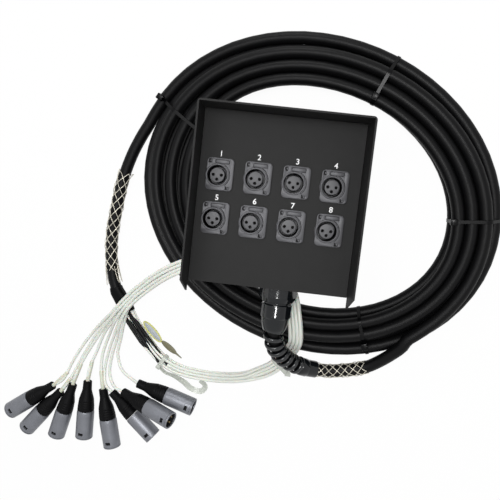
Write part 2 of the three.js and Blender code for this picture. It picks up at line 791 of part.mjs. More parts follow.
// Lead from the case to the coil, with the cores that fan out inside the case
const leadCurve = curveThrough([
  atCase(GLAND_X, LEAD_TOP, glandZ),
  atCase(GLAND_X, GLAND_HEX_END, glandZ),
  atCase(GLAND_X, DOME_SHOULDER, glandZ),
  atCase(GLAND_X, DOME_TIP, glandZ),
  ...vectors(LEAD_ROUTE),
  coilFirst.clone().addScaledVector(startHeading, -GAP - CABLE_R),
  coilFirst.clone().addScaledVector(startHeading, -GAP),
]);
const leadLength = leadCurve.getLength();
const leadSteps = Math.round(leadLength / CABLE_STEP);
const leadSolid = toSolid(along(leadCurve, leadSteps, CABLE_R, CABLE_SIDES));
const cores = sockets.map(([x, y]) => {
  const rear = x + BORE_X;
  const route = [
    atCase(GLAND_X, LEAD_TOP - CABLE_R, glandZ),
    atCase(GLAND_X, LEAD_TOP + GAP, glandZ),
    atCase((GLAND_X * 2 + rear) / 3, LEAD_TOP + BARREL_R, CORE_PLANE_Z),
    atCase(rear, Math.max(LEAD_TOP + BARREL_R * 2, y - BARREL_R * 2), CORE_RISE_Z),
    atCase(rear, y - CABLE_R, CORE_RISE_Z),
    atCase(rear, y + BORE_Y, CORE_END_Z),
  ];
  return toSolid(along(curveThrough(route), CORE_STEPS, CORE_R, CORE_SIDES));
});
addTo(whole, "multicore_lead", plus(leadSolid, ...cores), "jacket");

// Dome nut with its spiral and collar
const nutProfile = [
  [CABLE_CLEAR_R, DOME_TIP],
  [DOME_TIP_R, DOME_TIP],
  [DOME_R, DOME_SHOULDER],
  [DOME_R, DOME_NECK_END],
  [DOME_NECK_R, DOME_NECK_END],
  [DOME_NECK_R, GLAND_HEX_END - GAP],
  [GLAND_SEAT_R - GAP, GLAND_HEX_END - GAP],
  [GLAND_SEAT_R - GAP, GLAND_SEAT_TOP - GAP],
  [CABLE_CLEAR_R, GLAND_SEAT_TOP - GAP],
  [CABLE_CLEAR_R, DOME_TIP],
];
const dome = turned(nutProfile, ROUND_SIDES);
dome.translate(GLAND_X, 0, glandZ);
dome.applyMatrix4(housing.matrixWorld);
const tipAt = LEAD_TOP - DOME_TIP;
const spiralStart = tipAt - SPIRAL_SUNK;
const spiralLength = SPIRAL_PITCH * SPIRAL_TURNS;
const collarStart = spiralStart + spiralLength - SPIRAL_SUNK;
const spiralPath = [];
const spiralOut = [];
const spiralWire = [];
const spiralCount = SPIRAL_TURNS * SPIRAL_STEPS;
for (let i = 0; i <= spiralCount; i += 1) {
  const share = i / spiralCount;
  const at = (spiralStart + spiralLength * share) / leadLength;
  const run = leadCurve.getTangentAt(at);
  const side = run.clone().cross(UP).normalize();
  const over = side.clone().cross(run);
  const angle = share * SPIRAL_TURNS * Math.PI * 2;
  const out = side.multiplyScalar(Math.cos(angle)).addScaledVector(over, Math.sin(angle));
  const reach = THREE.MathUtils.lerp(SPIRAL_R_START, SPIRAL_R_END, share);
  spiralPath.push(leadCurve.getPointAt(at).addScaledVector(out, reach));
  spiralOut.push(out);
  spiralWire.push(SPIRAL_WIRE_R);
}
const spiral = ringSolid(spiralPath, spiralOut, spiralWire, spiralWire, SPIRAL_SIDES);
const collarCurve = stretch(leadCurve, collarStart, collarStart + COLLAR_LENGTH);
const collarSteps = Math.round(COLLAR_LENGTH / CABLE_STEP);
const collar = toSolid(along(collarCurve, collarSteps, COLLAR_R, CABLE_SIDES, GRIP_INNER_R));
addTo(whole, "spiral_relief_nut", plus(toSolid(dome), spiral, collar), "nylon");

// Mesh grip next to the collar
const gripStart = collarStart + COLLAR_LENGTH + GRIP_GAP;
const gripCurve = stretch(leadCurve, gripStart, gripStart + GRIP_LENGTH);
const gripSteps = Math.round(GRIP_LENGTH / CABLE_STEP);
const grip = along(gripCurve, gripSteps, GRIP_OUTER_R, GRIP_SIDES, GRIP_INNER_R);
addTo(whole, "mesh_grip_box_end", toSolid(grip), "wire");

// Free end of the cable and its mesh grip
const endCurve = curveThrough([
  coilLast.clone().addScaledVector(endHeading, GAP),
  coilLast.clone().addScaledVector(endHeading, GAP + CABLE_R),
  ...vectors(END_ROUTE),
]);
const endLength = endCurve.getLength();
const endSteps = Math.round(endLength / CABLE_STEP);
addTo(whole, "multicore_end", toSolid(along(endCurve, endSteps, CABLE_R, CABLE_SIDES)), "jacket");
const farGripCurve = stretch(endCurve, END_GRIP_START, END_GRIP_START + END_GRIP_LENGTH);
const farGripSteps = Math.round(END_GRIP_LENGTH / CABLE_STEP);
const farGrip = along(farGripCurve, farGripSteps, GRIP_OUTER_R, GRIP_SIDES, GRIP_INNER_R);
addTo(whole, "mesh_grip_fanout_end", toSolid(farGrip), "wire");

// Bundle of tails, flattened, with the fan at its end
const loomCurve = curveThrough(vectors(LOOM_ROUTE));
const [lw, lh, lc] = [LOOM_HALF_W, LOOM_HALF_H, LOOM_CHAMFER];
const loomOutline = [
  [lh, lw - lc],
  [lh - lc, lw],
  [lc - lh, lw],
  [-lh, lw - lc],
  [-lh, lc - lw],
  [lc - lh, -lw],
  [lh - lc, -lw],
  [lh, lc - lw],
];
const loomShape = new THREE.Shape(loomOutline.map(([x, y]) => new THREE.Vector2(x, y)));
const loomOptions = { steps: LOOM_STEPS, bevelEnabled: false, extrudePath: loomCurve };
const bundle = toSolid(new THREE.ExtrudeGeometry(loomShape, loomOptions));
const loomEnd = loomCurve.getPointAt(1);
const loomHeading = loomCurve.getTangentAt(1);
const fanSide = loomHeading.clone().cross(UP).normalize().negate();
const plugTurn = (deg, rise) => new THREE.Euler(0, -radians(rise), radians(deg), "ZYX");
const plugHeading = (deg, rise) => X_AXIS.clone().applyEuler(plugTurn(deg, rise));
const tails = FAN_ROUTES.map((route, i) => {
  const column = ((i >> 1) - (COLUMNS - 1) * HALF) * TAIL_COLUMN;
  const layer = i % 2 ? -TAIL_LAYER : TAIL_LAYER;
  const [tipX, tipY, deg, rise = 0] = PLUG_PLACES[i];
  const way = plugHeading(deg, rise);
  const tip = new THREE.Vector3(tipX, tipY, PLUG_AXIS_Z);
  const spots = [
    loomEnd.clone().addScaledVector(loomHeading, -LOOM_HALF_H),
    new THREE.Vector3(...FAN_START),
  ];
  spots.forEach((spot) => {
    spot.addScaledVector(fanSide, column);
    spot.z += layer;
  });
  const listed = vectors(route);
  listed[0].z += layer;
  const path = [
    ...spots,
    ...listed,
    tip,
    tip.clone().addScaledVector(way, TAIL_SETTLE),
    tip.clone().addScaledVector(way, TAIL_IN_BOOT),
  ];
  return toSolid(along(curveThrough(path), TAIL_STEPS, TAIL_R, TAIL_SIDES));
});
addTo(whole, "tail_loom", plus(bundle, ...tails), "tail");

// Moulded boot where the jacket ends and the tails begin
const jacketEnd = endCurve.getPointAt(1);
const jacketHeading = endCurve.getTangentAt(1);
const loomStart = loomCurve.getPointAt(0);
const loomStartHeading = loomCurve.getTangentAt(0);
const breakoutPath = [
  jacketEnd.clone().addScaledVector(jacketHeading, -BREAKOUT_LAP),
  jacketEnd.clone(),
  loomStart.clone(),
  loomStart.clone().addScaledVector(loomStartHeading, BREAKOUT_LAP),
];
const flatSide = (way) => way.clone().cross(UP).normalize();
const breakoutSides = [jacketHeading, jacketHeading, loomStartHeading, loomStartHeading].map(flatSide);
const breakoutWide = [CABLE_CLEAR_R + BREAKOUT_WALL, BREAKOUT_W - BREAKOUT_WALL, BREAKOUT_W, BREAKOUT_W];
const breakoutTall = [BREAKOUT_TALL + GAP, BREAKOUT_TALL, BREAKOUT_LOW, BREAKOUT_LOW];
const breakoutBody = ringSolid(
  breakoutPath,
  breakoutSides,
  breakoutWide,
  breakoutTall,
  BREAKOUT_SIDES,
);
const jacketRoom = ringSolid(
  [-BREAKOUT_LAP * 2, GAP].map((run) => jacketEnd.clone().addScaledVector(jacketHeading, run)),
  [jacketHeading, jacketHeading].map(flatSide),
  [CABLE_CLEAR_R, CABLE_CLEAR_R],
  [CABLE_CLEAR_R, CABLE_CLEAR_R],
  ROUND_SIDES,
);
const loomRoom = toSolid(
  slab(
    loomOutline.map(([x, y]) => [x + GAP * Math.sign(x), y + GAP * Math.sign(y)]),
    -BREAKOUT_LAP * 2,
    GAP,
  ),
);
const loomBack = loomStartHeading.clone().negate();
const loomAcross = flatSide(loomBack);
const loomPlace = new THREE.Matrix4();
loomPlace.makeBasis(loomBack.clone().cross(loomAcross), loomAcross.clone().negate(), loomBack);
loomPlace.setPosition(loomStart);
const breakout = minus(breakoutBody, jacketRoom, loomRoom.transform(loomPlace.elements));
addTo(whole, "fanout_boot", breakout, "boot");

// Plugs and their boots
const shellProfile = [
  [0, BOOT_LENGTH + GAP],
  [PLUG_REAR_R, BOOT_LENGTH + GAP],
  [PLUG_R, BOOT_LENGTH + PLUG_REAR_RUN],
  [PLUG_R, PLUG_LENGTH],
  [PLUG_MOUTH_R, PLUG_LENGTH],
  [PLUG_MOUTH_R, PLUG_FLOOR],
  [0, PLUG_FLOOR],
];
const bootProfile = [[BOOT_BORE_R, 0], ...BOOT_PROFILE, [BOOT_BORE_R, BOOT_LENGTH], [BOOT_BORE_R, 0]];
PLUG_PLACES.forEach(([x, y, deg, rise = 0], i) => {
  const label = i + 1;
  const shell = turned(shellProfile, PLUG_SIDES);
  shell.rotateZ(-Math.PI * HALF);
  const pins = CONTACT_ANGLES_DEG.map((turn) =>
    rodX(
      PIN_CIRCLE * Math.cos(radians(turn)),
      PIN_CIRCLE * Math.sin(radians(turn)),
      PIN_R,
      PLUG_FLOOR - PIN_R,
      PIN_TIP,
      SMALL_SIDES,
    ),
  );
  const window = block(
    WINDOW_AT - WINDOW_LONG * HALF,
    WINDOW_AT + WINDOW_LONG * HALF,
    -WINDOW_WIDE * HALF,
    WINDOW_WIDE * HALF,
    PLUG_MOUTH_R - PIN_R,
    PLUG_R + PAST,
  );
  const plug = addTo(whole, "xlr_plug_" + label, plus(minus(toSolid(shell), window), ...pins), "plug");
  const sleeve = turned(bootProfile, BOOT_SIDES);
  sleeve.rotateZ(-Math.PI * HALF);
  const boot = addTo(whole, "plug_boot_" + label, toSolid(sleeve), "boot");
  for (const piece of [plug, boot]) {
    piece.rotation.copy(plugTurn(deg, rise));
    piece.position.set(x, y, PLUG_AXIS_Z);
  }
});

// Convex outline round a set of points in a plane
function hull(points) {
  const sorted = [...points].sort((a, b) => a[0] - b[0] || a[1] - b[1]);
  const turn = (o, a, b) => (a[0] - o[0]) * (b[1] - o[1]) - (a[1] - o[1]) * (b[0] - o[0]);
  const half = (list) => {
    const kept = [];
    for (const point of list) {
      while (kept.length > 1 && turn(kept[kept.length - 2], kept[kept.length - 1], point) <= 0) {
        kept.pop();
      }
      kept.push(point);
    }
    kept.pop();
    return kept;
  };
  return [...half(sorted), ...half(sorted.reverse())];
}

// Ties drawn tight round the strands of the coil
TIE_ANGLES_DEG.forEach((deg, i) => {
  const angle = radians(deg);
  const base = coilBase(angle);
  const out = coilOut(angle);
  const strands = [];
  const first = (deg - COIL_START_DEG) / 360;
  for (let turns = first - Math.floor(first); turns < COIL_TURNS; turns += 1) {
    const place = (turns / COIL_TURNS) * coilCount;
    const before = Math.floor(place);
    const spot = coilRun[before].clone().lerp(coilRun[Math.min(coilCount, before + 1)], place - before);
    strands.push([spot.sub(base).dot(out), coilHeight(turns)]);
  }
  const outline = (wide, tall) =>
    hull(
      strands.flatMap(([across, height]) =>
        ringPoints(1, TIE_SIDES).map((v) => [across + v.x * wide, height + v.y * tall]),
      ),
    );
  const inner = outline(CABLE_R + TIE_SIDE_CLEAR, CABLE_R + TIE_FLAT_CLEAR);
  const outer = outline(CABLE_R + TIE_SIDE_CLEAR + TIE_T, CABLE_R + TIE_FLAT_CLEAR + TIE_T);
  const half = TIE_WIDTH * HALF;
  const low = Math.min(...outer.map(([across]) => across));
  const high = Math.max(...outer.map(([across]) => across));
  const [headLong, headWide, headTall] = TIE_HEAD;
  const headAt = THREE.MathUtils.lerp(low, high, TIE_HEAD_SHARES[i]);
  const topAt = (across) => {
    let top = 0;
    outer.forEach(([x0, z0], k) => {
      const [x1, z1] = outer[(k + 1) % outer.length];
      if ((x0 - across) * (x1 - across) <= 0 && x0 !== x1) {
        top = Math.max(top, z0 + ((z1 - z0) * (across - x0)) / (x1 - x0));
      }
    });
    return top;
  };
  const headEnds = [headAt - headLong * HALF, headAt, headAt + headLong * HALF];
  const headTop = Math.max(...headEnds.map(topAt));
  const head = block(
    headAt - headLong * HALF,
    headAt + headLong * HALF,
    headTop - TIE_T,
    headTop + headTall,
    -headWide * HALF,
    headWide * HALF,
  );
  const band = minus(
    toSolid(slab(outer, -half, half)),
    toSolid(slab(inner, -half - PAST, half + PAST)),
  );
  const place = new THREE.Matrix4().makeBasis(out, UP, out.clone().cross(UP)).setPosition(base);
  addTo(whole, "coil_tie_" + (i + 1), plus(band, head).transform(place.elements), "tie");
});

// Clear ties round the bundle, each with a loose tail
WRAP_SHARES.forEach((share, i) => {
  const spot = loomCurve.getPointAt(share);
  const way = loomCurve.getTangentAt(share);
  const side = flatSide(way);
  const over = side.clone().cross(way);
  const [wide, tall] = [LOOM_HALF_W + WRAP_CLEAR, LOOM_HALF_H + WRAP_CLEAR];
  const half = WRAP_WIDTH * HALF;
  const [headLong, headWide, headTall] = WRAP_HEAD;
  const band = minus(
    plus(
      block(-wide - WRAP_T, wide + WRAP_T, -tall - WRAP_T, tall + WRAP_T, -half, half),
      block(wide, wide + headLong, -headTall * HALF, headTall * HALF, -headWide * HALF, headWide * HALF),
    ),
    block(-wide, wide, -tall, tall, -half - PAST, half + PAST),
  );
  const place = new THREE.Matrix4().makeBasis(side, over, side.clone().cross(over)).setPosition(spot);
  const root = spot.clone().addScaledVector(side, wide + headLong * HALF);
  const strip = new THREE.Shape([
    new THREE.Vector2(WRAP_TAIL_H * HALF, WRAP_TAIL_T * HALF),
    new THREE.Vector2(-WRAP_TAIL_H * HALF, WRAP_TAIL_T * HALF),
    new THREE.Vector2(-WRAP_TAIL_H * HALF, -WRAP_TAIL_T * HALF),
    new THREE.Vector2(WRAP_TAIL_H * HALF, -WRAP_TAIL_T * HALF),
  ]);
  const route = curveThrough([root, ...vectors(WRAP_TAILS[i])]);
  const options = { steps: WRAP_TAIL_STEPS, bevelEnabled: false, extrudePath: route };
  const tail = toSolid(new THREE.ExtrudeGeometry(strip, options));
  addTo(whole, "clear_tie_" + (i + 1), plus(band.transform(place.elements), tail), "clear");
});

// Marker tag that lies beside the bundle
const ovalPoints = ringPoints(1, BOOT_SIDES * 2).map((v) => [v.x * TAG_OVAL[0], v.y * TAG_OVAL[1]]);
const bodyPoints = hull([
  ...ringPoints(1, BOOT_SIDES).map((v) => [v.x * TAG_BODY[0], v.y * TAG_BODY[1]]),
]);
const pointPoints = [
  [0, -TAG_BODY[1] * HALF],
  [TAG_POINT, -TAG_POINT_W * HALF],
  [TAG_POINT, TAG_POINT_W * HALF],
  [0, TAG_BODY[1] * HALF],
];
function tagPiece(points, x, y, deg) {
  const made = slab(points, TAG_Z, TAG_Z + TAG_T);
  made.rotateZ(radians(deg));
  made.translate(x, y, 0);
  return toSolid(made);
}
const tag = plus(
  tagPiece(ovalPoints, TAG_X, TAG_Y, TAG_DEG),
  tagPiece(bodyPoints, TAG_BODY_X, TAG_BODY_Y, TAG_BODY_DEG),
  tagPiece(pointPoints, TAG_BODY_X, TAG_BODY_Y, TAG_BODY_DEG),
);
addTo(whole, "marker_tag", tag, "tag");

// The origin is on the floor under the middle of the case
const spread = new THREE.Box3().setFromObject(housing, true);
const middle = spread.getCenter(new THREE.Vector3());
whole.position.set(-middle.x, -middle.y, -spread.min.z);

export default part;
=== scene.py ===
import math

import bmesh
import bpy
from mathutils import Matrix, Vector


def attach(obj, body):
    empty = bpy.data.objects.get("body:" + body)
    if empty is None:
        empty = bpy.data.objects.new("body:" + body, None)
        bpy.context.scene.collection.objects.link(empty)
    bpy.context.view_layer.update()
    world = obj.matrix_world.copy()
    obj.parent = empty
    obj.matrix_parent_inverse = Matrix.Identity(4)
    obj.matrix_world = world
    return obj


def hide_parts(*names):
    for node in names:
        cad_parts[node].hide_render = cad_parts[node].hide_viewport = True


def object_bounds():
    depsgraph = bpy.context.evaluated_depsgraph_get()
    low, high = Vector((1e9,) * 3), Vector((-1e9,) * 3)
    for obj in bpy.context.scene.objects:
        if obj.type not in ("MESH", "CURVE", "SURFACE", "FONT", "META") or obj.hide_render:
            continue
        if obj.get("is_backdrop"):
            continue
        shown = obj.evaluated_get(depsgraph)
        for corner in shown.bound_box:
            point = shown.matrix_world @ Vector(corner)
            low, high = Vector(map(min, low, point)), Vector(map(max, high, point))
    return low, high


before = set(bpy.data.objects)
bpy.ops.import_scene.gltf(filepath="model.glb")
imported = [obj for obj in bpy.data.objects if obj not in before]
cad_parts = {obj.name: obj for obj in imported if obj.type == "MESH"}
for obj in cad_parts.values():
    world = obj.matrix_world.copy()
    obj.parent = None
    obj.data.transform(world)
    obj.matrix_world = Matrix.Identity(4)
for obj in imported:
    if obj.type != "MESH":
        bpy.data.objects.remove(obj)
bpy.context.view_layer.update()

# Routes, profiles and places are in millimetres, in the frame that the cables were laid out in.
# Camera, floor and lights are in metres
MM = 0.001
UP = Vector((0, 0, 1))
IDENTITY = Matrix.Identity(4)
# From that frame to the frame of the model
SHIFT = Matrix.Translation((0, 3.1599 * MM, 0))
WHITE = (1, 1, 1, 1)
scene = bpy.context.scene

# Place of the case, and how far it is tipped about x and then about y, in degrees
CASE_AT = Vector((0.5209, 2.6535, 63.5038))
CASE_TIP_X, CASE_TIP_Y = -4, 10
CASE = (
    Matrix.Translation(CASE_AT)
    @ Matrix.Rotation(math.radians(CASE_TIP_X), 4, "X")
    @ Matrix.Rotation(math.radians(CASE_TIP_Y), 4, "Y")
)


def at_case(x, y, z):
    """A point of the case's own frame, in the frame of the routes."""
    return CASE @ Vector((x, y, z))


def moved(x, y, z):
    """A move in millimetres."""
    return Matrix.Translation(Vector((x, y, z)) * MM)


def linked(name, data):
    """A new object in the scene."""
    made = bpy.data.objects.new(name, data)
    scene.collection.objects.link(made)
    return made


# Camera -----------------------------------------
LENS, SENSOR, FAR = 43.2, 36, 20
CAMERA_AT = (0.0949, 0.0471, 0.5952)
CAMERA_LOOK = (-0.2078, -0.1628, -0.9645)
CAMERA_UPRIGHT = (-0.1274, 0.9822, -0.1383)

camera_data = bpy.data.cameras.new("camera")
camera_data.lens = LENS
camera_data.sensor_width = SENSOR
camera_data.clip_end = FAR
camera = linked("camera", camera_data)
look = Vector(CAMERA_LOOK).normalized()
right = look.cross(Vector(CAMERA_UPRIGHT)).normalized()
turn = Matrix((right, right.cross(look).normalized(), -look)).transposed().to_4x4()
camera.matrix_world = SHIFT @ Matrix.Translation(CAMERA_AT) @ turn
scene.camera = camera


# Materials --------------------------------------
SLOW = 0.06  # scale of the slow noise, as a share of the grain
SLOW_DETAIL, FINE_DETAIL = 4, 3
SHADE_FROM, SHADE_TO = 0.3, 0.7
BUMP_STRENGTH = 0.6
SMOOTHEST = 0.02


def fill(node, **values):
    """Sets sockets of a shader node, whose names are written with underscores."""
    for key, value in values.items():
        node.inputs[key.replace("_", " ")].default_value = value
    return node


def add(nodes, kind, **values):
    return fill(nodes.new("ShaderNode" + kind), **values)


def material(name, color, rough, metal, grain, bump, vary, rough_vary, spec=0.5, **more):
    """A procedural look: slow noise shades the colour, fine noise the roughness and the bump.

    grain is the scale of the fine noise, bump its height, vary and rough_vary how far colour and
    roughness move, spec the specular level, and more goes to the shader's sockets.
    """
    made = bpy.data.materials.new(name)
    made.use_nodes = True
    nodes, links = made.node_tree.nodes, made.node_tree.links
    shader = fill(nodes["Principled BSDF"], Metallic=metal, Specular_IOR_Level=spec, **more)
    place = add(nodes, "TexCoord")

    def noise(scale, detail):
        field = add(nodes, "TexNoise", Scale=scale, Detail=detail)
        links.new(place.outputs["Object"], field.inputs["Vector"])
        return field.outputs["Fac"]

    ramp = add(nodes, "ValToRGB")
    dark, light = ramp.color_ramp.elements
    dark.position, light.position = SHADE_FROM, SHADE_TO
    dark.color = [max(0, c * (1 - vary)) for c in color] + [1]
    light.color = [min(1, c * (1 + vary)) for c in color] + [1]
    links.new(noise(grain * SLOW, SLOW_DETAIL), ramp.inputs["Fac"])
    links.new(ramp.outputs["Color"], shader.inputs["Base Color"])
    fine = noise(grain, FINE_DETAIL)
    low, high = max(SMOOTHEST, rough - rough_vary), min(1, rough + rough_vary)
    spread = add(nodes, "MapRange", To_Min=low, To_Max=high)
    links.new(fine, spread.inputs["Value"])
    links.new(spread.outputs["Result"], shader.inputs["Roughness"])
    if bump:
        bumps = add(nodes, "Bump", Strength=BUMP_STRENGTH, Distance=bump * MM)
        links.new(fine, bumps.inputs["Height"])
        links.new(bumps.outputs["Normal"], shader.inputs["Normal"])
    return made


def linear(v):
    """The linear value of an sRGB level from 0 to 255."""
    v = v / 255
    return v / 12.92 if v <= 0.04045 else ((v + 0.055) / 1.055) ** 2.4


def rgb(r, g, b):
    return [linear(r), linear(g), linear(b)]


MILKY = {"Subsurface_Weight": 0.1, "Subsurface_Scale": 0.002}
# colour, roughness, metal, grain, bump, variation of the colour and of the roughness
COAT = material("coat", rgb(25, 25, 25), 0.6, 0.0, 1400, 0.06, 0.05, 0.08, spec=0.18)
SOCKET = material("socket", rgb(64, 64, 67), 0.45, 0.3, 1600, 0.02, 0.06, 0.08, spec=0.4)
INSERT = material("insert", rgb(76, 76, 79), 0.5, 0.0, 1500, 0.01, 0.05, 0.06, spec=0.4)
# Near-black painted shade for the insides of recesses: the floor and inner wall of each plug shell,
# the wall of each socket barrel round its insert, and the contacts in the insert's holes
RECESS_SHADE = material("recess_shade", rgb(8, 8, 9), 0.7, 0.0, 900, 0, 0.1, 0.05, spec=0.2)
SCREW = material("screw", rgb(40, 40, 42), 0.35, 0.8, 2500, 0.01, 0.1, 0.1)
CONTACT = material("contact", rgb(110, 96, 66), 0.35, 0.9, 2500, 0, 0.1, 0.1)
PRINT = material("print", rgb(236, 236, 236), 0.5, 0.0, 2500, 0.01, 0.02, 0.05)
NYLON = material("nylon", rgb(13, 16, 19), 0.12, 0.0, 700, 0.01, 0.12, 0.03, spec=0.36)
CURL = material("curl", rgb(13, 16, 19), 0.2, 0.0, 900, 0.01, 0.1, 0.03, spec=0.55)
JACKET = material("jacket", rgb(9, 9, 10), 0.42, 0.0, 700, 0.04, 0.12, 0.08, spec=0.11)
TAIL = material("tail", rgb(222, 225, 217), 0.4, 0.0, 600, 0.03, 0.03, 0.1, **MILKY)
SLEEVE = material("sleeve", rgb(12, 12, 13), 0.5, 0.0, 800, 0.04, 0.1, 0.1, spec=0.15)
WIRE = material("wire", rgb(208, 203, 188), 0.36, 0.5, 2500, 0.01, 0.15, 0.12)
PLUG = material("plug", rgb(116, 118, 124), 0.42, 0.45, 1800, 0.02, 0.08, 0.08)
BOOT = material("boot", rgb(4, 4, 5), 0.5, 0.0, 1000, 0.04, 0.12, 0.08, spec=0.08)
TIE = material("tie", rgb(5, 5, 6), 0.26, 0.0, 900, 0.01, 0.1, 0.05, spec=0.12)
CLEAR = material(
    "clear", rgb(216, 220, 212), 0.22, 0.0, 500, 0.02, 0.06, 0.08,
    Transmission_Weight=0.3, IOR=1.45,
)
GUARD = material("guard", rgb(206, 207, 190), 0.3, 0.0, 600, 0.03, 0.05, 0.08, **MILKY)
OLIVE = material("olive", rgb(112, 109, 86), 0.45, 0.1, 700, 0.03, 0.12, 0.08)
RIM = material("rim", rgb(206, 205, 110), 0.4, 0.0, 700, 0.02, 0.08, 0.08)
LABEL = material("label", rgb(178, 184, 190), 0.4, 0.0, 500, 0.02, 0.12, 0.08)


# Mesh helpers -----------------------------------
WELD = 1e-7  # points that lie closer than this, in metres, become one
TINY = 1e-6
KNOT = 1e-4  # least distance between two knots of a curve
FINE_STEP = 2.0
LAST = 0.9999  # how far along a line a swept form may reach, as a share


def put(name, data, matrix=None, look=None, body="box"):
    """An object from mesh or curve data, placed, painted and carried by a body of the frame."""
    made = linked(name, data)
    made.matrix_world = SHIFT @ (matrix or IDENTITY)
    if look is not None and not data.materials:
        data.materials.append(look)
    if body:
        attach(made, body)
    return made


def mesh_of(name, verts, faces, sharp):
    """Mesh data from points in millimetres."""
    data = bpy.data.meshes.new(name)
    data.from_pydata([Vector(v) * MM for v in verts], [], faces)
    return soften(data, sharp)


def soften(data, sharp):
    """The mesh with merged points, outward faces, and sharp edges past an angle in degrees."""
    work = bmesh.new()
    work.from_mesh(data)
    bmesh.ops.remove_doubles(work, verts=work.verts, dist=WELD)
    bmesh.ops.recalc_face_normals(work, faces=work.faces)
    limit = math.radians(sharp)
    for face in work.faces:
        face.smooth = True
    for edge in work.edges:
        if len(edge.link_faces) == 2 and edge.calc_face_angle(0) > limit:
            edge.smooth = False
    work.to_mesh(data)
    work.free()
    data.update()
    return data


def lathe(name, profile, segments, sharp):
    """A body turned about z from (radius, height) pairs in millimetres."""
    verts, faces, rows = [], [], []
    for r, h in profile:
        if r < TINY:
            rows.append([len(verts)] * segments)
            verts.append((0, 0, h))
        else:
            rows.append(list(range(len(verts), len(verts) + segments)))
            for j in range(segments):
                a = 2 * math.pi * j / segments
                verts.append((r * math.cos(a), r * math.sin(a), h))
    for low, high in zip(rows, rows[1:]):
        for j in range(segments):
            k = (j + 1) % segments
            ring = []
            for v in (low[j], low[k], high[k], high[j]):
                if v not in ring:
                    ring.append(v)
            if len(ring) > 2:
                faces.append(ring)
    return mesh_of(name, verts, faces, sharp)


def plate(name, outlines, z0, z1, bevel=0.2, sharp=30.0, steps=1):
    """A plate with holes: the first outline is its edge, the rest are holes, all in millimetres."""
    data = bpy.data.curves.new(name, "CURVE")
    data.dimensions = "2D"
    data.fill_mode = "BOTH"
    for points in outlines:
        spline = data.splines.new("POLY")
        spline.points.add(len(points) - 1)
        for i, (x, y) in enumerate(points):
            spline.points[i].co = (x * MM, y * MM, 0, 1)
        spline.use_cyclic_u = True
    data.extrude = ((z1 - z0) / 2 - bevel) * MM
    data.bevel_depth = bevel * MM
    data.bevel_resolution = steps
    data.offset = -bevel * MM
    helper = linked(name, data)
    bpy.context.view_layer.update()
    graph = bpy.context.evaluated_depsgraph_get()
    made = bpy.data.meshes.new_from_object(helper.evaluated_get(graph))
    bpy.data.objects.remove(helper)
    bpy.data.curves.remove(data)
    made.transform(moved(0, 0, (z0 + z1) / 2))
    made.name = name
    return soften(made, sharp)


def round_rect(w, h, r, n=8, x=0.0, y=0.0):
    """The outline of a rectangle with round corners of n steps each."""
    points = []
    in_x, in_y = w / 2 - r, h / 2 - r
    corners = ((in_x, in_y, 0), (-in_x, in_y, 90), (-in_x, -in_y, 180), (in_x, -in_y, 270))
    for cx, cy, start in corners:
        for i in range(n + 1):
            a = math.radians(start + 90 * i / n)
            points.append((x + cx + r * math.cos(a), y + cy + r * math.sin(a)))
    return points


def ring_angles(n):
    """n angles at an even step round a circle."""
    return [2 * math.pi * i / n for i in range(n)]


def circle(x, y, r, n):
    return [(x + r * math.cos(a), y + r * math.sin(a)) for a in ring_angles(n)]


def ellipse(a, b):
    return [(a * math.cos(t), b * math.sin(t)) for t in ring_angles(48)]


def arc_slot(x, y, r, width, start, end, n=28):
    """The outline of a curved slot."""
    out = []
    for reach, first, last in ((r + width / 2, start, end), (r - width / 2, end, start)):
        for i in range(n + 1):
            a = math.radians(first + (last - first) * i / n)
            out.append((x + reach * math.cos(a), y + reach * math.sin(a)))
    return out


def catmull(points, step=FINE_STEP):
    """Points at an even step on the centripetal curve through a list."""
    points = [Vector(p) for p in points]
    ends = [points[0] * 2 - points[1]] + points + [points[-1] * 2 - points[-2]]
    dense = []
    for i in range(1, len(ends) - 2):
        p0, p1, p2, p3 = ends[i - 1 : i + 3]
        d0, d1, d2 = (max(KNOT, (b - a).length ** 0.5) for a, b in ((p0, p1), (p1, p2), (p2, p3)))
        t1 = ((p1 - p0) / d0 - (p2 - p0) / (d0 + d1) + (p2 - p1) / d1) * d1
        t2 = ((p2 - p1) / d1 - (p3 - p1) / (d1 + d2) + (p3 - p2) / d2) * d1
        count = max(4, int((p2 - p1).length / step * 2))
        for k in range(count):
            t = k / count
            square = (-3 * p1 + 3 * p2 - 2 * t1 - t2) * t * t
            cube = (2 * p1 - 2 * p2 + t1 + t2) * t**3
            dense.append(p1 + t1 * t + square + cube)
    dense.append(points[-1])
    return even(dense, step)


def even(dense, step):
    """The same line at an even step."""
    runs = [0.0]
    for a, b in zip(dense, dense[1:]):
        runs.append(runs[-1] + (b - a).length)
    count = max(2, round(runs[-1] / step))
    out, j = [], 0
    for i in range(count + 1):
        want = runs[-1] * i / count
        while j < len(runs) - 2 and runs[j + 1] < want:
            j += 1
        span = max(1e-9, runs[j + 1] - runs[j])
        out.append(dense[j].lerp(dense[j + 1], (want - runs[j]) / span))
    return out


def ease(t):
    """A smooth step from 0 to 1."""
    t = min(1, max(0, t))
    return t * t * (3 - 2 * t)


def length_of(points):
    return sum((b - a).length for a, b in zip(points, points[1:]))


def along(points, step, at):
    """Index, share of a step and point at a length along an even line."""
    k = min(len(points) - 2, int(at / step))
    f = at / step - k
    return k, f, points[k].lerp(points[k + 1], f)


def frames(points):
    """Point, run, side and over at each point of a line, the side kept level."""
    out = []
    for i, p in enumerate(points):
        run = (points[min(len(points) - 1, i + 1)] - points[max(0, i - 1)]).normalized()
        side = run.cross(UP).normalized()
        out.append((p, run, side, side.cross(run)))
    return out


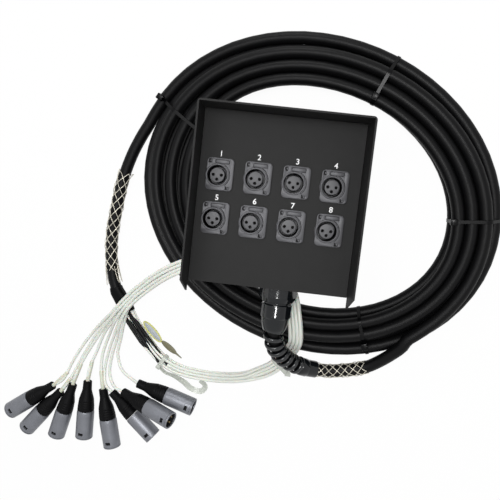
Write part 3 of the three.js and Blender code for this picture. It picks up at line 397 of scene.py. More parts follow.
def strands(name, paths, radius, sides):
    """A curve with its own thickness, one round strand to each path."""
    data = bpy.data.curves.new(name, "CURVE")
    data.dimensions = "3D"
    data.bevel_depth = radius * MM
    data.bevel_resolution = sides
    data.use_fill_caps = True
    for points in paths:
        spline = data.splines.new("POLY")
        spline.points.add(len(points) - 1)
        for i, p in enumerate(points):
            spline.points[i].co = (*(p * MM), 1)
        spline.use_smooth = True
    return data


def line(name, points, radius, look, sides):
    return put(name, strands(name, [points], radius, sides), None, look)


def skin(name, rings, sharp, close=True, cyclic=False):
    """A skin over rings of points: closed with end caps, or cyclic, or open at both ends."""
    verts, faces = [], []
    n = len(rings[0])
    for ring in rings:
        verts.extend(ring)
    pairs = list(zip(range(len(rings) - 1), range(1, len(rings))))
    if cyclic:
        pairs.append((len(rings) - 1, 0))
    for a, b in pairs:
        for j in range(n):
            k = (j + 1) % n
            faces.append((a * n + j, a * n + k, b * n + k, b * n + j))
    if close and not cyclic:
        faces.append(tuple(range(n)))
        faces.append(tuple(range((len(rings) - 1) * n, len(rings) * n)))
    return mesh_of(name, verts, faces, sharp)


def swept(name, points, profile, segments, sharp):
    """A turned form that follows a line: profile is (length along the line, radius) pairs."""
    whole = length_of(points)
    rings = []
    for s, r in profile:
        at = min(LAST, max(0, s / whole)) * (len(points) - 1)
        k = min(len(points) - 2, int(at))
        p = points[k].lerp(points[k + 1], at - k)
        run = (points[k + 1] - points[k]).normalized()
        side = run.cross(UP).normalized()
        over = side.cross(run)
        ring = []
        for a in ring_angles(segments):
            ring.append(tuple(p + side * (r * math.cos(a)) + over * (r * math.sin(a))))
        rings.append(ring)
    return skin(name, rings, sharp, close=False, cyclic=True)


def bevelled(name, low, high, bevel):
    """A block with rounded edges, in millimetres."""
    work = bmesh.new()
    bmesh.ops.create_cube(work, size=1)
    for v in work.verts:
        v.co = Vector([((lo + hi) / 2 + c * (hi - lo)) * MM for lo, hi, c in zip(low, high, v.co)])
    bmesh.ops.bevel(
        work, geom=work.edges[:], offset=bevel * MM, segments=2, affect="EDGES", profile=0.5
    )
    data = bpy.data.meshes.new(name)
    work.to_mesh(data)
    work.free()
    return soften(data, 40)


def joined(name, parts):
    """One mesh from several, each with a matrix."""
    work = bmesh.new()
    for data, matrix in parts:
        piece = data.copy()
        piece.transform(matrix)
        work.from_mesh(piece)
        bpy.data.meshes.remove(piece)
    made = bpy.data.meshes.new(name)
    work.to_mesh(made)
    work.free()
    return made


def on_circle(r, deg):
    """A move from the axis to a circle about it."""
    a = math.radians(deg)
    return moved(r * math.cos(a), r * math.sin(a), 0)


def cut_mesh(name, data, tools):
    """The mesh with other meshes cut out of it."""
    base = linked(name, data)
    helpers = [linked("tool", tool) for tool in tools]
    for helper in helpers:
        step = base.modifiers.new("cut", "BOOLEAN")
        step.operation = "DIFFERENCE"
        step.solver = "EXACT"
        step.object = helper
    bpy.context.view_layer.update()
    graph = bpy.context.evaluated_depsgraph_get()
    made = bpy.data.meshes.new_from_object(base.evaluated_get(graph))
    for o in [base, *helpers]:
        bpy.data.objects.remove(o)
    made.name = name
    return soften(made, 30)


CASE_M = moved(*CASE_AT) @ CASE.to_3x3().to_4x4()


def case_matrix(x=0, y=0, z=0):
    """Takes a mesh to a place given in the case's own frame."""
    return CASE_M @ moved(x, y, z)


# Cable ------------------------------------------
CABLE_R = 5.7
JACKET_SWELL = 0.32  # the jacket is drawn a little fuller than the cable's nominal radius
GLAND_X, GLAND_Z = 11, -24  # the gland's axis in the case's own frame
LEAD_ROUTE = [
    (8, -129, 45.5), (11, -139, 41), (17, -148, 35), (26, -155.5, 28), (38, -161, 19.5),
    (51, -163.5, 12.8), (63, -163.8, 9.8), (74, -162, 7.6), (87, -158.5, 7.1), (99, -153.5, 7.5),
    (110, -145, 10.2), (120, -135, 14.4), (129, -124.5, 17.7),
]
END_ROUTE = [
    (-156.5, 52, 6.6), (-165, 34, 7), (-171, 17, 7.3), (-176, -1, 7.3), (-179.5, -23, 7.3),
    (-182.5, -45, 7.3), (-183.5, -65, 7.3), (-182, -85, 7.3), (-178.5, -103, 7), (-174, -116, 6.9),
]
# The coil starts at an angle and winds inwards in an upper layer, then comes down within half a
# turn and winds outwards in a lower layer. s counts turns, the lay is the distance from an ellipse
COIL_TURNS, PITCH, LOW_Z, HIGH_Z = 6.556, 12, 6.5, 18.5
COIL_START = -29
COIL_LONG, COIL_SHORT = 138.3, 109.7
COIL_CENTRE = (22.3, 4.4)
COIL_SLANT = math.radians(-16)
UPPER_TURNS, DOWN_TURNS = 2.5, 0.5
START_LIFT, START_TURNS = 3.2, 0.15
DOWN_DIP = 0.15
# The turns spread inwards under the left side of the case: how far, round which angle, from which
# lay, and how narrowly
SPREAD, SPREAD_AT, SPREAD_FROM, SPREAD_POWER = 0.36, 185, 31, 4


def slanted(x, y):
    """A direction of the ellipse's own axes, in the frame of the routes."""
    c, s = math.cos(COIL_SLANT), math.sin(COIL_SLANT)
    return x * c - y * s, x * s + y * c


def coil_base(angle):
    x, y = slanted(COIL_LONG * math.cos(angle), COIL_SHORT * math.sin(angle))
    return Vector((COIL_CENTRE[0] + x, COIL_CENTRE[1] + y, 0))


def coil_out(angle):
    v = Vector((COIL_SHORT * math.cos(angle), COIL_LONG * math.sin(angle), 0)).normalized()
    return Vector((*slanted(v.x, v.y), 0))


def coil_lay(s):
    if s < UPPER_TURNS:
        lift = START_LIFT * max(0, 1 - s / START_TURNS) ** 2
        return PITCH * (UPPER_TURNS - s) + lift
    if s < UPPER_TURNS + DOWN_TURNS:
        return -DOWN_DIP * PITCH * math.sin(math.pi * (s - UPPER_TURNS) / DOWN_TURNS)
    return PITCH * (s - UPPER_TURNS - DOWN_TURNS)


def coil_offset(s):
    lay = coil_lay(s)
    near = max(0, math.cos(math.radians(COIL_START - SPREAD_AT) + 2 * math.pi * s)) ** SPREAD_POWER
    return lay - SPREAD * near * max(0, SPREAD_FROM - lay)


def coil_height(s):
    return HIGH_Z + (LOW_Z - HIGH_Z) * ease((s - UPPER_TURNS) / DOWN_TURNS)


def coil_point(s):
    angle = math.radians(COIL_START) + 2 * math.pi * s
    p = coil_base(angle) + coil_out(angle) * coil_offset(s)
    p.z = coil_height(s)
    return p


COIL_STEPS, NUDGE = 394, 0.001
coil = [coil_point(COIL_TURNS * i / COIL_STEPS) for i in range(COIL_STEPS + 1)]
head_in = (coil_point(NUDGE) - coil_point(0)).normalized()
head_out = (coil_point(COIL_TURNS) - coil_point(COIL_TURNS - NUDGE)).normalized()
coil_first = coil[0] - head_in * CABLE_R * 2
coil_last = coil[-1] + head_out * CABLE_R * 2
STRAIGHT = 6  # length over which lead and end run on in the coil's direction
lead = catmull(
    [at_case(GLAND_X, y, GLAND_Z) for y in (-62, -86, -110, -121)]
    + LEAD_ROUTE
    + [coil_first - head_in * STRAIGHT, coil_first]
)
end = catmull([coil_last, coil_last + head_out * STRAIGHT] + END_ROUTE)
lead_step = length_of(lead) / (len(lead) - 1)
cable_path = even(lead + coil + end, 5.0)
cable = line("multicore", cable_path, CABLE_R + JACKET_SWELL, JACKET, 7)
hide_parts("multicore_lead", "multicore_coil", "multicore_end")

# Cores inside the case
SOCKET_STEP_X, SOCKET_STEP_Y = 34.4, 39.4
SOCKETS = [
    (-1.97 + (c - 1.5) * SOCKET_STEP_X, 0.67 - (r - 0.5) * SOCKET_STEP_Y)
    for r in range(2)
    for c in range(4)
]
BARREL_X, BARREL_Y = -2.15, -0.95  # the barrel's axis from the middle of the flange
CORE_R = 1.5
for i, (x, y) in enumerate(SOCKETS):
    rear = x + BARREL_X
    route = [
        at_case(GLAND_X, -67, GLAND_Z),
        at_case(GLAND_X, -61.7, GLAND_Z),
        at_case((2 * GLAND_X + rear) / 3, -50.2, -33),
        at_case(rear, max(-38.4, y - 23.6), -35),
        at_case(rear, y - 5.7, -35),
        at_case(rear, y - 1, -25.5),
    ]
    line("inner_core_%d" % (i + 1), catmull(route, 4.0), CORE_R, TAIL, 3)

# Tails ------------------------------------------
LOOM_ROUTE = [
    (-162.6, -133.4, 5.4), (-154, -148, 5), (-141, -163, 5), (-127, -176, 5.2), (-115, -185, 5.4),
    (-97, -192, 5), (-74, -194, 4.4), (-52, -193, 4.2), (-30, -189, 4.2), (-11, -181, 5.2),
    (3, -172, 6.4), (12, -162, 8), (19.5, -150.5, 12.6), (24.5, -142, 19), (27, -133, 27.4),
    (26.2, -121, 30), (23.5, -108, 29.6), (20.2, -97, 25), (15.5, -88, 18.2), (8, -81, 13.8),
    (-10, -74, 12.2), (-34, -69, 15.6), (-50, -67, 21.6), (-64, -67, 27.4), (-78, -68.5, 29.1),
    (-92, -72.5, 29.1), (-108, -81, 27.4), (-124, -92, 23.6), (-138, -104, 19.6),
    (-150, -115, 17.7),
]
FAN_ROUTES = [
    [
        (-178, -141, 12), (-197, -162, 5), (-213, -185, 3.2), (-224, -206, 4.5),
        (-232.5, -226.9, 8.8),
    ],
    [
        (-178, -143, 12), (-195, -166, 5), (-208, -189, 3.2), (-216.5, -207, 3.5),
        (-223.5, -223, 5.5), (-228.2, -233, 9),
    ],
    [(-176, -144, 12), (-192, -167, 5), (-205, -189, 3.2), (-213, -206, 5), (-216.5, -218.3, 9)],
    [
        (-174, -146, 11.5), (-187, -166, 5), (-196, -190, 3.4), (-200, -203, 6),
        (-201.2, -211.5, 9.2),
    ],
    [
        (-171, -147, 11.5), (-181, -167, 5), (-188, -189, 3.4), (-188, -205, 6),
        (-184.8, -218.7, 9.2),
    ],
    [(-168, -148, 11.5), (-176, -169, 5), (-182, -190, 3.4), (-184, -208, 5), (-180, -223.4, 9)],
    [
        (-165, -148, 12), (-171.5, -170, 5.5), (-177, -192, 4.2), (-177, -212, 6.5),
        (-168.8, -224.4, 9.2),
    ],
    [(-162, -148, 12), (-167, -169, 5.5), (-170, -188, 4), (-163, -204, 6.2), (-149.9, -211, 9.2)],
]
# place of the boot's end, heading and rise
PLUGS = [
    (-243.6, -235.4, -142.5, 0), (-233.8, -240.7, -128, 0), (-219.2, -229.8, -105.5, 0),
    (-201.4, -222.5, -91, 0), (-182.5, -228.4, -77, 0), (-171.8, -230.1, -39, 0),
    (-158.5, -227.6, -12.5, 14.5), (-142, -214.5, -13.2, 0),
]


def heading(deg, rise):
    """The way that a plug points: degrees from x, and degrees up from the floor."""
    a, b = math.radians(deg), math.radians(rise)
    return Vector((math.cos(a) * math.cos(b), math.sin(a) * math.cos(b), math.sin(b)))


AXIS_Z = 9.85  # height of a plug's axis
TAIL_R = 1.7
COLUMN, LAYER = 3.45, 1.6  # spacing of the tails across the loom, and half of it between layers
SWAY, BOB = 0.35, 0.12
# Places of the tails where a tie draws them together, and the stretch where it does
PACKED = [
    (-3.4, 2.9), (-3.4, -2.9), (-1.75, 0), (0, -2.9), (0, 2.9), (1.75, 0), (3.4, 2.9), (3.4, -2.9),
]
PACKED_LIFT, PACKED_FROM, PACKED_TO, PACKED_EASE = 0.9, 0.07, 0.38, 0.05
FAN_START = Vector((-160, -127.5, 16.8))
IN_PLUG = 27  # how far a tail reaches into its plug
loom = catmull(LOOM_ROUTE)
loom_frames = frames(loom)
tail_paths = []
for i in range(8):
    column = ((i >> 1) - 1.5) * COLUMN
    layer = -LAYER if i % 2 else LAYER
    path = []
    for k, (p, run, side, over) in enumerate(loom_frames[:-3]):
        u = k / (len(loom_frames) - 1)
        sway = SWAY * math.sin(9 * u * math.pi + i * 1.9)
        bob = BOB * math.sin(7 * u * math.pi + i)
        # the side of the loom turns over on its way round, so columns keep their order by side
        loose = p - side * (column + sway * 0.4) + over * (layer + bob)
        close = ease((u - PACKED_FROM) / PACKED_EASE) * ease((PACKED_TO - u) / PACKED_EASE)
        packed = p - side * (PACKED[i][0] + sway * 0.2) + over * (PACKED[i][1] + PACKED_LIFT)
        path.append(loose.lerp(packed, close))
    p, run, side, over = loom_frames[-1]
    start = FAN_START - side * column + UP * layer
    listed = [Vector(q) for q in FAN_ROUTES[i]]
    listed[0].z += layer
    x, y, deg, rise = PLUGS[i]
    way = heading(deg, rise)
    tip = Vector((x, y, AXIS_Z))
    fan = catmull([path[-3], path[-1], start] + listed + [tip, tip + way * 7, tip + way * IN_PLUG])
    tail_paths.append(even(path[:-1] + fan[2:], 3.0))

# Plugs ------------------------------------------
shell_profile = [
    (0, 34.3), (8.7, 34.3), (9.1, 34.45), (9.25, 34.8), (9.3, 35.6), (9.5, 36.4), (9.6, 37.2),
    (9.6, 64.9), (9.2, 65.1), (9.2, 65.6), (9.58, 65.8), (9.58, 66.5), (9.4, 66.9), (9.1, 67),
    (8.15, 67), (7.95, 66.8), (7.9, 66.4), (7.9, 51.2), (0, 51.2),
]
shell_mesh = cut_mesh(
    "xlr_plug",
    lathe("shell", shell_profile, 56, 30),
    [bevelled("window", (6.5, -2.8, 58.9), (12, 2.8, 62.2), 0.3)],
)
PIN_CIRCLE, PIN_ANGLES = 3.9, (120, 240, 0)
pin_profile = [(0, 50.8), (1.2, 50.8), (1.2, 64.6), (1.0, 65.2), (0.5, 65.6), (0, 65.6)]
pin_mesh = lathe("pin", pin_profile, 14, 40)
pins_mesh = joined("pins", [(pin_mesh, on_circle(PIN_CIRCLE, a)) for a in PIN_ANGLES])
# The floor of each plug and a thin sleeve on the shell's inner wall, both dark: painted shade
# inside the shell
plug_floor_shade_profile = [
    (0, 51.3), (7.8, 51.3), (7.8, 65.6), (7.65, 65.8), (7.3, 65.8), (7.1, 65.4), (7.1, 52.5),
    (0, 52.5),
]
plug_floor_shade_mesh = lathe("floor", plug_floor_shade_profile, 40, 30)
# The boot: six narrow ribs at its neck, a swell, and four wide ribs
boot_profile = [(2.2, 0.0), (4.1, 0.0), (4.6, 0.2), (4.8, 0.6)]
for k in range(6):
    z = 1.3 + k * 1.5
    crest, groove = 4.8 + 0.033 * z, 4.62 + 0.033 * z
    boot_profile += [(crest, z), (groove, z + 0.3), (groove, z + 0.7), (crest, z + 1.0)]
boot_profile += [(5.3, 10.8), (5.8, 13), (6.9, 16.6), (7.7, 19.4)]
for k in range(4):
    z = 21.0 + k * 2.5
    r = 8.15 + (z - 21) * 0.105
    boot_profile += [(r, z), (r + 0.12, z + 0.5), (r + 0.16, z + 1.6), (r - 0.02, z + 2.0)]
boot_profile += [(9.1, 31.3), (9.2, 32), (9.2, 33.3), (9.0, 33.8), (8.7, 34), (2.2, 34), (2.2, 0.0)]
boot_mesh = lathe("plug_boot", boot_profile, 48, 50)
for i, (x, y, deg, rise) in enumerate(PLUGS):
    way = heading(deg, rise)
    # local z is the plug's axis, local x points up
    over = (UP - way * UP.dot(way)).normalized()
    m = Matrix((over, way.cross(over), way)).transposed()
    place = moved(x, y, AXIS_Z) @ m.to_4x4()
    n = i + 1
    shell = put("xlr_plug_body_%d" % n, shell_mesh, place, PLUG)
    pins = put("xlr_plug_pins_%d" % n, pins_mesh, place, CONTACT)
    # Floor and inner sleeve carry painted shade inside the shell
    base = put("xlr_plug_floor_%d" % n, plug_floor_shade_mesh, place, RECESS_SHADE)
    boot = put("plug_boot_body_%d" % n, boot_mesh, place, BOOT)
    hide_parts("xlr_plug_%d" % n)
    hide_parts("plug_boot_%d" % n)
    tail = line("tail_%d" % n, tail_paths[i], TAIL_R, TAIL, 4)
    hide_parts("tail_loom")

# Clear guards where tails enter their boots, from the boot back along the tail
for i, reach in enumerate((24, 19, 25, 22, 20)):
    mouth = length_of(tail_paths[i]) - IN_PLUG
    profile = [
        (mouth - reach, 1.75), (mouth - reach, 2.2), (mouth + 1 - reach, 2.3), (mouth - 2, 2.3),
        (mouth + 0.5, 2.25), (mouth + 0.5, 1.75),
    ]
    data = swept("guard", tail_paths[i], profile, 16, 60)
    put("tail_guard_%d" % (i + 1), data, None, GUARD)

# Black sleeves on some of the tails next to the jacket
for i in (0, 1, 4):
    reach = 70 + i * 1.5
    profile = [(3, 1.75), (3, 1.95), (12, 2.0), (40, 1.98), (reach, 1.95), (reach + 0.4, 1.75)]
    data = swept("sleeve", tail_paths[i], profile, 16, 60)
    put("tail_sleeve_%d" % (i + 1), data, None, SLEEVE)

# Fan-out boot -----------------------------------
jacket_end, jacket_run = end[-1], (end[-1] - end[-2]).normalized()
loom_start, loom_run = loom[0], (loom[1] - loom[0]).normalized()
SQUARENESS = 2.8


def squared(a, w, h):
    """The point at an angle on an outline between an ellipse and a rectangle."""
    c, s = math.cos(a), math.sin(a)
    f = (abs(c) ** SQUARENESS + abs(s) ** SQUARENESS) ** (-1 / SQUARENESS)
    return w * f * c, h * f * s


boot_line = [jacket_end - jacket_run * back for back in (5, 2, 0)]
boot_line += [jacket_end.lerp(loom_start, share) for share in (0.35, 0.7, 1)]
boot_line += [loom_start + loom_run * 4.6]
wide = [6.3, 6.8, 7.2, 7.6, 8.0, 8.2, 7.8]
tall = [6.2, 6.3, 6.2, 5.9, 5.4, 5.0, 4.7]
rings = []
for (p, run, side, over), w, h in zip(frames(boot_line), wide, tall):
    around_line = (squared(a, w, h) for a in ring_angles(36))
    rings.append([tuple(p + side * x + over * z) for x, z in around_line])
fan_boot = put("fanout_boot_body", skin("fanout_boot", rings, 60), None, BOOT)
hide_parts("fanout_boot")

# Gland, dome nut, spiral and collar -------------
CROWN = 0.025  # how far the flats of the hexagons stand out in their middle, as a share


def gland_form(name, sections):
    """A body about y from (y, radius, half width across flats) sections; 0 means no flats."""
    rings = []
    for h, r, flat in sections:
        ring = []
        for a in ring_angles(72):
            b = (a + math.pi / 6) % (math.pi / 3) - math.pi / 6
            q = min(r, flat * (1 + CROWN * math.cos(3 * b) ** 2) / math.cos(b)) if flat else r
            ring.append((q * math.sin(a), h, q * math.cos(a)))
        rings.append(ring)
    return skin(name, rings, 25, close=False, cyclic=True)


body_mesh = gland_form(
    "gland_body",
    [
        (-66, 6.1, 0), (-66, 9.6, 0), (-66.6, 10, 0), (-78.5, 10, 0), (-78.4, 14.2, 0),
        (-78.6, 16.8, 15.6), (-79.4, 18.0, 15.7), (-80, 18.0, 15.7), (-87.3, 18.0, 15.7),
        (-87.8, 18.0, 15.7), (-88.3, 17.7, 15.6), (-92.2, 15.2, 15.6), (-92.5, 14.7, 15.4),
        (-92.5, 8.85, 0), (-84.1, 8.85, 0), (-84.1, 6.1, 0),
    ],
)
gland = put("gland_body_form", body_mesh, case_matrix(GLAND_X, 0, GLAND_Z), NYLON)
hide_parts("gland_body")
nut_mesh = gland_form(
    "gland_nut",
    [
        (-92.8, 8.4, 0), (-92.8, 12.0, 0), (-94.6, 12.0, 0), (-94.7, 13.6, 13.4),
        (-95.3, 14.6, 13.5), (-95.9, 14.6, 13.5), (-106, 14.6, 13.5), (-106.5, 14.6, 13.5),
        (-107.6, 14.1, 13.45), (-108.4, 13.5, 13.3), (-112, 13.1, 0), (-115.4, 12.4, 0),
        (-118, 11.7, 0), (-119.9, 11, 0), (-120.8, 10.3, 0), (-121, 9.6, 0), (-121, 6.15, 0),
        (-84.4, 6.15, 0), (-84.4, 8.4, 0),
    ],
)
nut = put("gland_dome_nut", nut_mesh, case_matrix(GLAND_X, 0, GLAND_Z), NYLON)
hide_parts("spiral_relief_nut")
SPIRAL_AT, SPIRAL_LEN, TURNS, TURN_STEPS = 56.0, 61.6, 8, 28
SPIRAL_WIDE, SPIRAL_TALL = 2.15, 1.6
SPIRAL_R, SPIRAL_TAPER = 8.2, 0.35
rings = []
for i in range(TURNS * TURN_STEPS + 1):
    u = i / (TURNS * TURN_STEPS)
    k, f, p = along(lead, lead_step, SPIRAL_AT + SPIRAL_LEN * u)
    before, after = (lead[k + 1] - lead[k]).normalized(), (lead[k + 2] - lead[k + 1]).normalized()
    run = before.lerp(after, f).normalized()
    side = run.cross(UP).normalized()
    over = side.cross(run)
    a = 2 * math.pi * TURNS * u
    out = side * math.cos(a) + over * math.sin(a)
    reach = SPIRAL_R - SPIRAL_TAPER * u
    centre = p + out * reach
    round_it = (over * math.cos(a) - side * math.sin(a)) * 2 * math.pi * reach
    tangent = (run * (SPIRAL_LEN / TURNS) + round_it).normalized()
    across = tangent.cross(out).normalized()
    ring = []
    for j in range(16):
        x, z = squared(2 * math.pi * (j + 0.5) / 16, SPIRAL_TALL, SPIRAL_WIDE)
        ring.append(tuple(centre + out * x + across * z))
    rings.append(ring)
spiral = put("gland_spiral", skin("spiral", rings, 80), None, CURL)
COLLAR_AT = SPIRAL_AT + SPIRAL_LEN - 3
collar_profile = [
    (0, 6.3), (0, 8.2), (0.8, 8.8), (2, 9), (8, 9), (8.5, 8.6), (9.5, 8.5), (18.5, 8.4),
    (19.6, 8.1), (20, 7.6), (20, 6.3),
]
collar_mesh = swept("collar", lead, [(COLLAR_AT + s, r) for s, r in collar_profile], 40, 40)
collar = put("gland_collar", collar_mesh, None, NYLON)


# Mesh grips -------------------------------------
WIRE_R = 0.36
WEAVE_R, WEAVE = 6.62, 0.36  # the wires lie on this radius, and rise and dip by this much
WEAVE_STEP = 1.1
SPLAY_LEN = 3
EYE_R, EYE_RISE, EYE_BACK, EYE_STEPS = 6.95, 1.3, 4, 16


def on_line(path, fr, step, at, a, r, mirror=1):
    """A point round an even line, at a length along it, an angle and a radius."""
    k, f, p = along(path, step, at)
    side, over = fr[k][2:]
    return p + (side * (mirror * math.cos(a)) + over * math.sin(a)) * r


def mesh_grip(name, path, start, length, wires, pitch, node, splay=0.0, loop=0.0):
    """A woven sleeve: wires wound both ways, each passing over and under the others.

    At the start the wires stand off by the splay. At the end, where loop gives a length, they
    close in eyes that lie along both sides of the cable.
    """
    step = length_of(path) / (len(path) - 1)
    fr = frames(path)
    parts = []
    for hand in (1, -1):
        for w in range(wires):
            points = []
            count = int(length / WEAVE_STEP)
            for i in range(count + 1):
                gone = length * i / count
                turned = 2 * math.pi * gone / pitch
                weave = math.sin(wires * turned + math.pi * w) * hand
                lift = splay * max(0, 1 - gone / SPLAY_LEN) * (1 + w % 2)
                a = hand * turned + 2 * math.pi * w / wires
                r = WEAVE_R + WEAVE * weave + lift
                points.append(on_line(path, fr, step, start + gone, a, r))
            parts.append(points)
    for mirror in (1, -1) if loop else ():
        for lean in (27, -15):
            points = []
            for j in range(EYE_STEPS + 1):
                t = j / EYE_STEPS
                bow = math.sin(math.pi * t)
                at = start + length - EYE_BACK + (loop + EYE_BACK) * bow
                a = math.radians(lean + 34 * (t - 0.5))
                points.append(on_line(path, fr, step, at, a, EYE_R + EYE_RISE * bow, mirror))
            parts.append(points)
    made = put(name, strands(name, parts, WIRE_R, 2), None, WIRE)
    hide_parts(node)
    return made


grip_1 = mesh_grip("grip_weave_box_end", lead, COLLAR_AT + 19, 52, 5, 43, "mesh_grip_box_end")
grip_2 = mesh_grip(
    "grip_weave_fanout_end", end, 60, 107, 5, 61, "mesh_grip_fanout_end", splay=1.1, loop=15.0
)


# Ties -------------------------------------------
def hull(points):
    """The convex outline of points in a plane."""
    points = sorted(points)

    def turns_left(a, b, c):
        return (b[0] - a[0]) * (c[1] - a[1]) - (b[1] - a[1]) * (c[0] - a[0]) > 0

    def half(seq):
        kept = []
        for p in seq:
            while len(kept) > 1 and not turns_left(kept[-2], kept[-1], p):
                kept.pop()
            kept.append(p)
        return kept[:-1]

    return half(points) + half(points[::-1])


def around(outline, count=120):
    """Points at an even step round a closed outline, starting at its lowest x."""
    k = min(range(len(outline)), key=lambda j: outline[j][0])
    outline = outline[k:] + outline[:k] + [outline[k]]
    line_points = [Vector((x, y, 0)) for x, y in outline]
    whole = length_of(line_points)
    return even(line_points, whole / count)[:-1]


# angle round the coil, and place of the head as a share of the way from its inner side
TIES = ((166, 0.92), (81, 0.16), (18, 0.1), (-50, 0.75))
TIE_GAP = (0.12, 0.08)  # from the turns to the band, sideways and up
TIE_OUTSIDE = (1.0, 0.72)
TIE_HALF_IN, TIE_HALF_OUT = 1.8, 1.55
HEAD_LOW, HEAD_HIGH = (-3.3, -2.9, -0.6), (3.3, 2.9, 4.1)


def outline_round(turns, gap):
    """The outline of a band round the turns, as (lay, height) points."""
    wide_r, tall_r = (CABLE_R + g for g in gap)
    points = []
    for lay, z in turns:
        for b in ring_angles(40):
            points.append((lay + wide_r * math.cos(b), z + tall_r * math.sin(b)))
    return hull(points)


for i, (deg, share) in enumerate(TIES):
    angle = math.radians(deg)
    base, out = coil_base(angle), coil_out(angle)
    run = UP.cross(out)
    s = (deg - COIL_START) / 360 % 1
    turns = []
    while s < COIL_TURNS:
        turns.append((coil_offset(s), coil_height(s)))
        s += 1
    rings = []
    inner = around(outline_round(turns, TIE_GAP))
    outer_raw = outline_round(turns, TIE_OUTSIDE)
    outer = around(outer_raw)
    for a, b in zip(inner, outer):
        ring = []
        for p, w in ((a, -TIE_HALF_IN), (b, -TIE_HALF_OUT), (b, TIE_HALF_OUT), (a, TIE_HALF_IN)):
            ring.append(tuple(base + out * p.x + UP * p.y + run * w))
        rings.append(ring)
    band = skin("tie", rings, 40, close=False, cyclic=True)
    low, high = min(p[0] for p in outer_raw), max(p[0] for p in outer_raw)
    head_at = low + (high - low) * share
    top = max(p.y for p in outer if abs(p.x - head_at) < 4)
    m = Matrix((out, run, UP)).transposed().to_4x4()
    place = moved(*(base + out * head_at + UP * top)) @ m
    head = bevelled("tie_head", HEAD_LOW, HEAD_HIGH, 0.6)
    tie_mesh = joined("tie_%d" % (i + 1), [(band, IDENTITY), (head, place)])
    made = put("coil_tie_band_%d" % (i + 1), tie_mesh, None, TIE)
    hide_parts("coil_tie_%d" % (i + 1))

# Clear ties: place as a share of the loom, width, height and lift of the band, half width and tip
# in degrees of the loose strap, and the strap's route
WRAPS = [
    (
        0.142, 10.9, 9.6, 0.9, 1.9, 78,
        [
            (-114, -199, 3.4), (-104, -201.5, 2.8), (-93, -206, 2.4), (-83, -212.5, 2.2),
            (-72, -213.6, 2.2), (-67.5, -207, 2.2), (-74, -201.5, 2.2),
        ],
    ),
    (0.418, 14.0, 7.3, 0, 2.5, 20, [(19.5, -174, 6.2), (20.2, -176.6, 4.8), (19.6, -179.4, 3.4)]),
]
thick = 0.5  # half of the thickness of a loose strap
for i, (share, wrap_w, wrap_h, lift, half, tipped, strap_route) in enumerate(WRAPS):
    p, run, side, over = loom_frames[round(share * (len(loom) - 1))]
    p = p + over * lift
    outline_in = round_rect(wrap_w, wrap_h, 2.2, 6)
    outline_out = round_rect(wrap_w + 1.8, wrap_h + 1.6, 3.0, 6)
    rings = []
    for a, b in zip(outline_in, outline_out):
        section = ((a, -2.2), (b, -2.0), (b, 2.0), (a, 2.2))
        rings.append([tuple(p + side * x + over * z + run * w) for (x, z), w in section])
    band = skin("wrap", rings, 40, close=False, cyclic=True)
    m = Matrix((side, over, side.cross(over))).transposed().to_4x4()
    edge_x = wrap_w / 2
    head = bevelled("wrap_head", (edge_x + 0.1, -3, -2.5), (edge_x + 6.1, 3, 2.5), 0.6)
    root = p + side * (edge_x + 3.3)
    strip = []
    for q, _, level, above in frames(catmull([root] + [Vector(q) for q in strap_route], 1.5)):
        lean = math.radians(tipped - tipped * 0.7 * min(1, max(0, len(strip) / 22 - 0.5)))
        flat = level * math.cos(lean) + above * math.sin(lean)
        edge = level * -math.sin(lean) + above * math.cos(lean)
        wide = half * (1 + 0.6 * min(1, len(strip) / 24))
        section = ((-wide, -thick), (wide, -thick), (wide, thick), (-wide, thick))
        strip.append([tuple(q + flat * a + edge * b) for a, b in section])
    strap = skin("wrap_strap", strip, 40)
    parts = [(band, IDENTITY), (head, moved(*p) @ m), (strap, IDENTITY)]
    made = put("clear_tie_band_%d" % (i + 1), joined("clear_%d" % i, parts), None, CLEAR)
    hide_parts("clear_tie_%d" % (i + 1))


# Marker tag -------------------------------------
def on_floor(x, y, deg):
    return moved(x, y, 0) @ Matrix.Rotation(math.radians(deg), 4, "Z")


TAG_AT, LEAF_AT = on_floor(-131.7, -156, -42.3), on_floor(-111.7, -170.4, -33)
rim_mesh = plate("tag_rim", [ellipse(14.8, 4.5), ellipse(13.2, 3.3)], 2.0, 3.7, 0.25)
tag = put("marker_tag_rim", rim_mesh, TAG_AT, RIM)
label_mesh = plate("tag_label", [ellipse(13.3, 3.4)], 2.2, 3.2, 0.1)
put("marker_tag_label", label_mesh, TAG_AT, LABEL)
leaf_mesh = plate("tag_body", [ellipse(10.5, 3.1)], 1.9, 3.9, 0.5, steps=3)
put("marker_tag_body", leaf_mesh, LEAF_AT, OLIVE)
point = [(0, -2.0), (12, -0.8), (18, -0.3), (18, 0.3), (12, 0.8), (0, 2.0)]
put("marker_tag_point", plate("tag_point", [point], 2.1, 3.6, 0.2), LEAF_AT, OLIVE)
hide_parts("marker_tag")

# Case: coat, edges and screws -------------------
for node in ("guard_hood", "front_panel", "back_cover", "gland_lock_nut"):
    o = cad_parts[node]
    o.data.materials.clear()
    o.data.materials.append(NYLON if node == "gland_lock_nut" else COAT)
    bevel = o.modifiers.new("edges", "BEVEL")
    bevel.width = 0.35 * MM
    bevel.segments = 2
    bevel.limit_method = "ANGLE"
    bevel.angle_limit = math.radians(40)
    bevel.use_clamp_overlap = True

SCREW_SLOTS = [((-0.3, -1.5, 0.2), (0.3, 1.5, 2)), ((-1.5, -0.3, 0.2), (1.5, 0.3, 2))]
screw_profile = [(0, -0.6), (1.6, -0.6), (2.6, 0.25), (2.5, 0.45), (1.4, 0.75), (0, 0.85)]
screw_mesh = cut_mesh(
    "screw",
    lathe("screw_head", screw_profile, 32, 30),
    [bevelled("slot", low, high, 0.05) for low, high in SCREW_SLOTS],
)

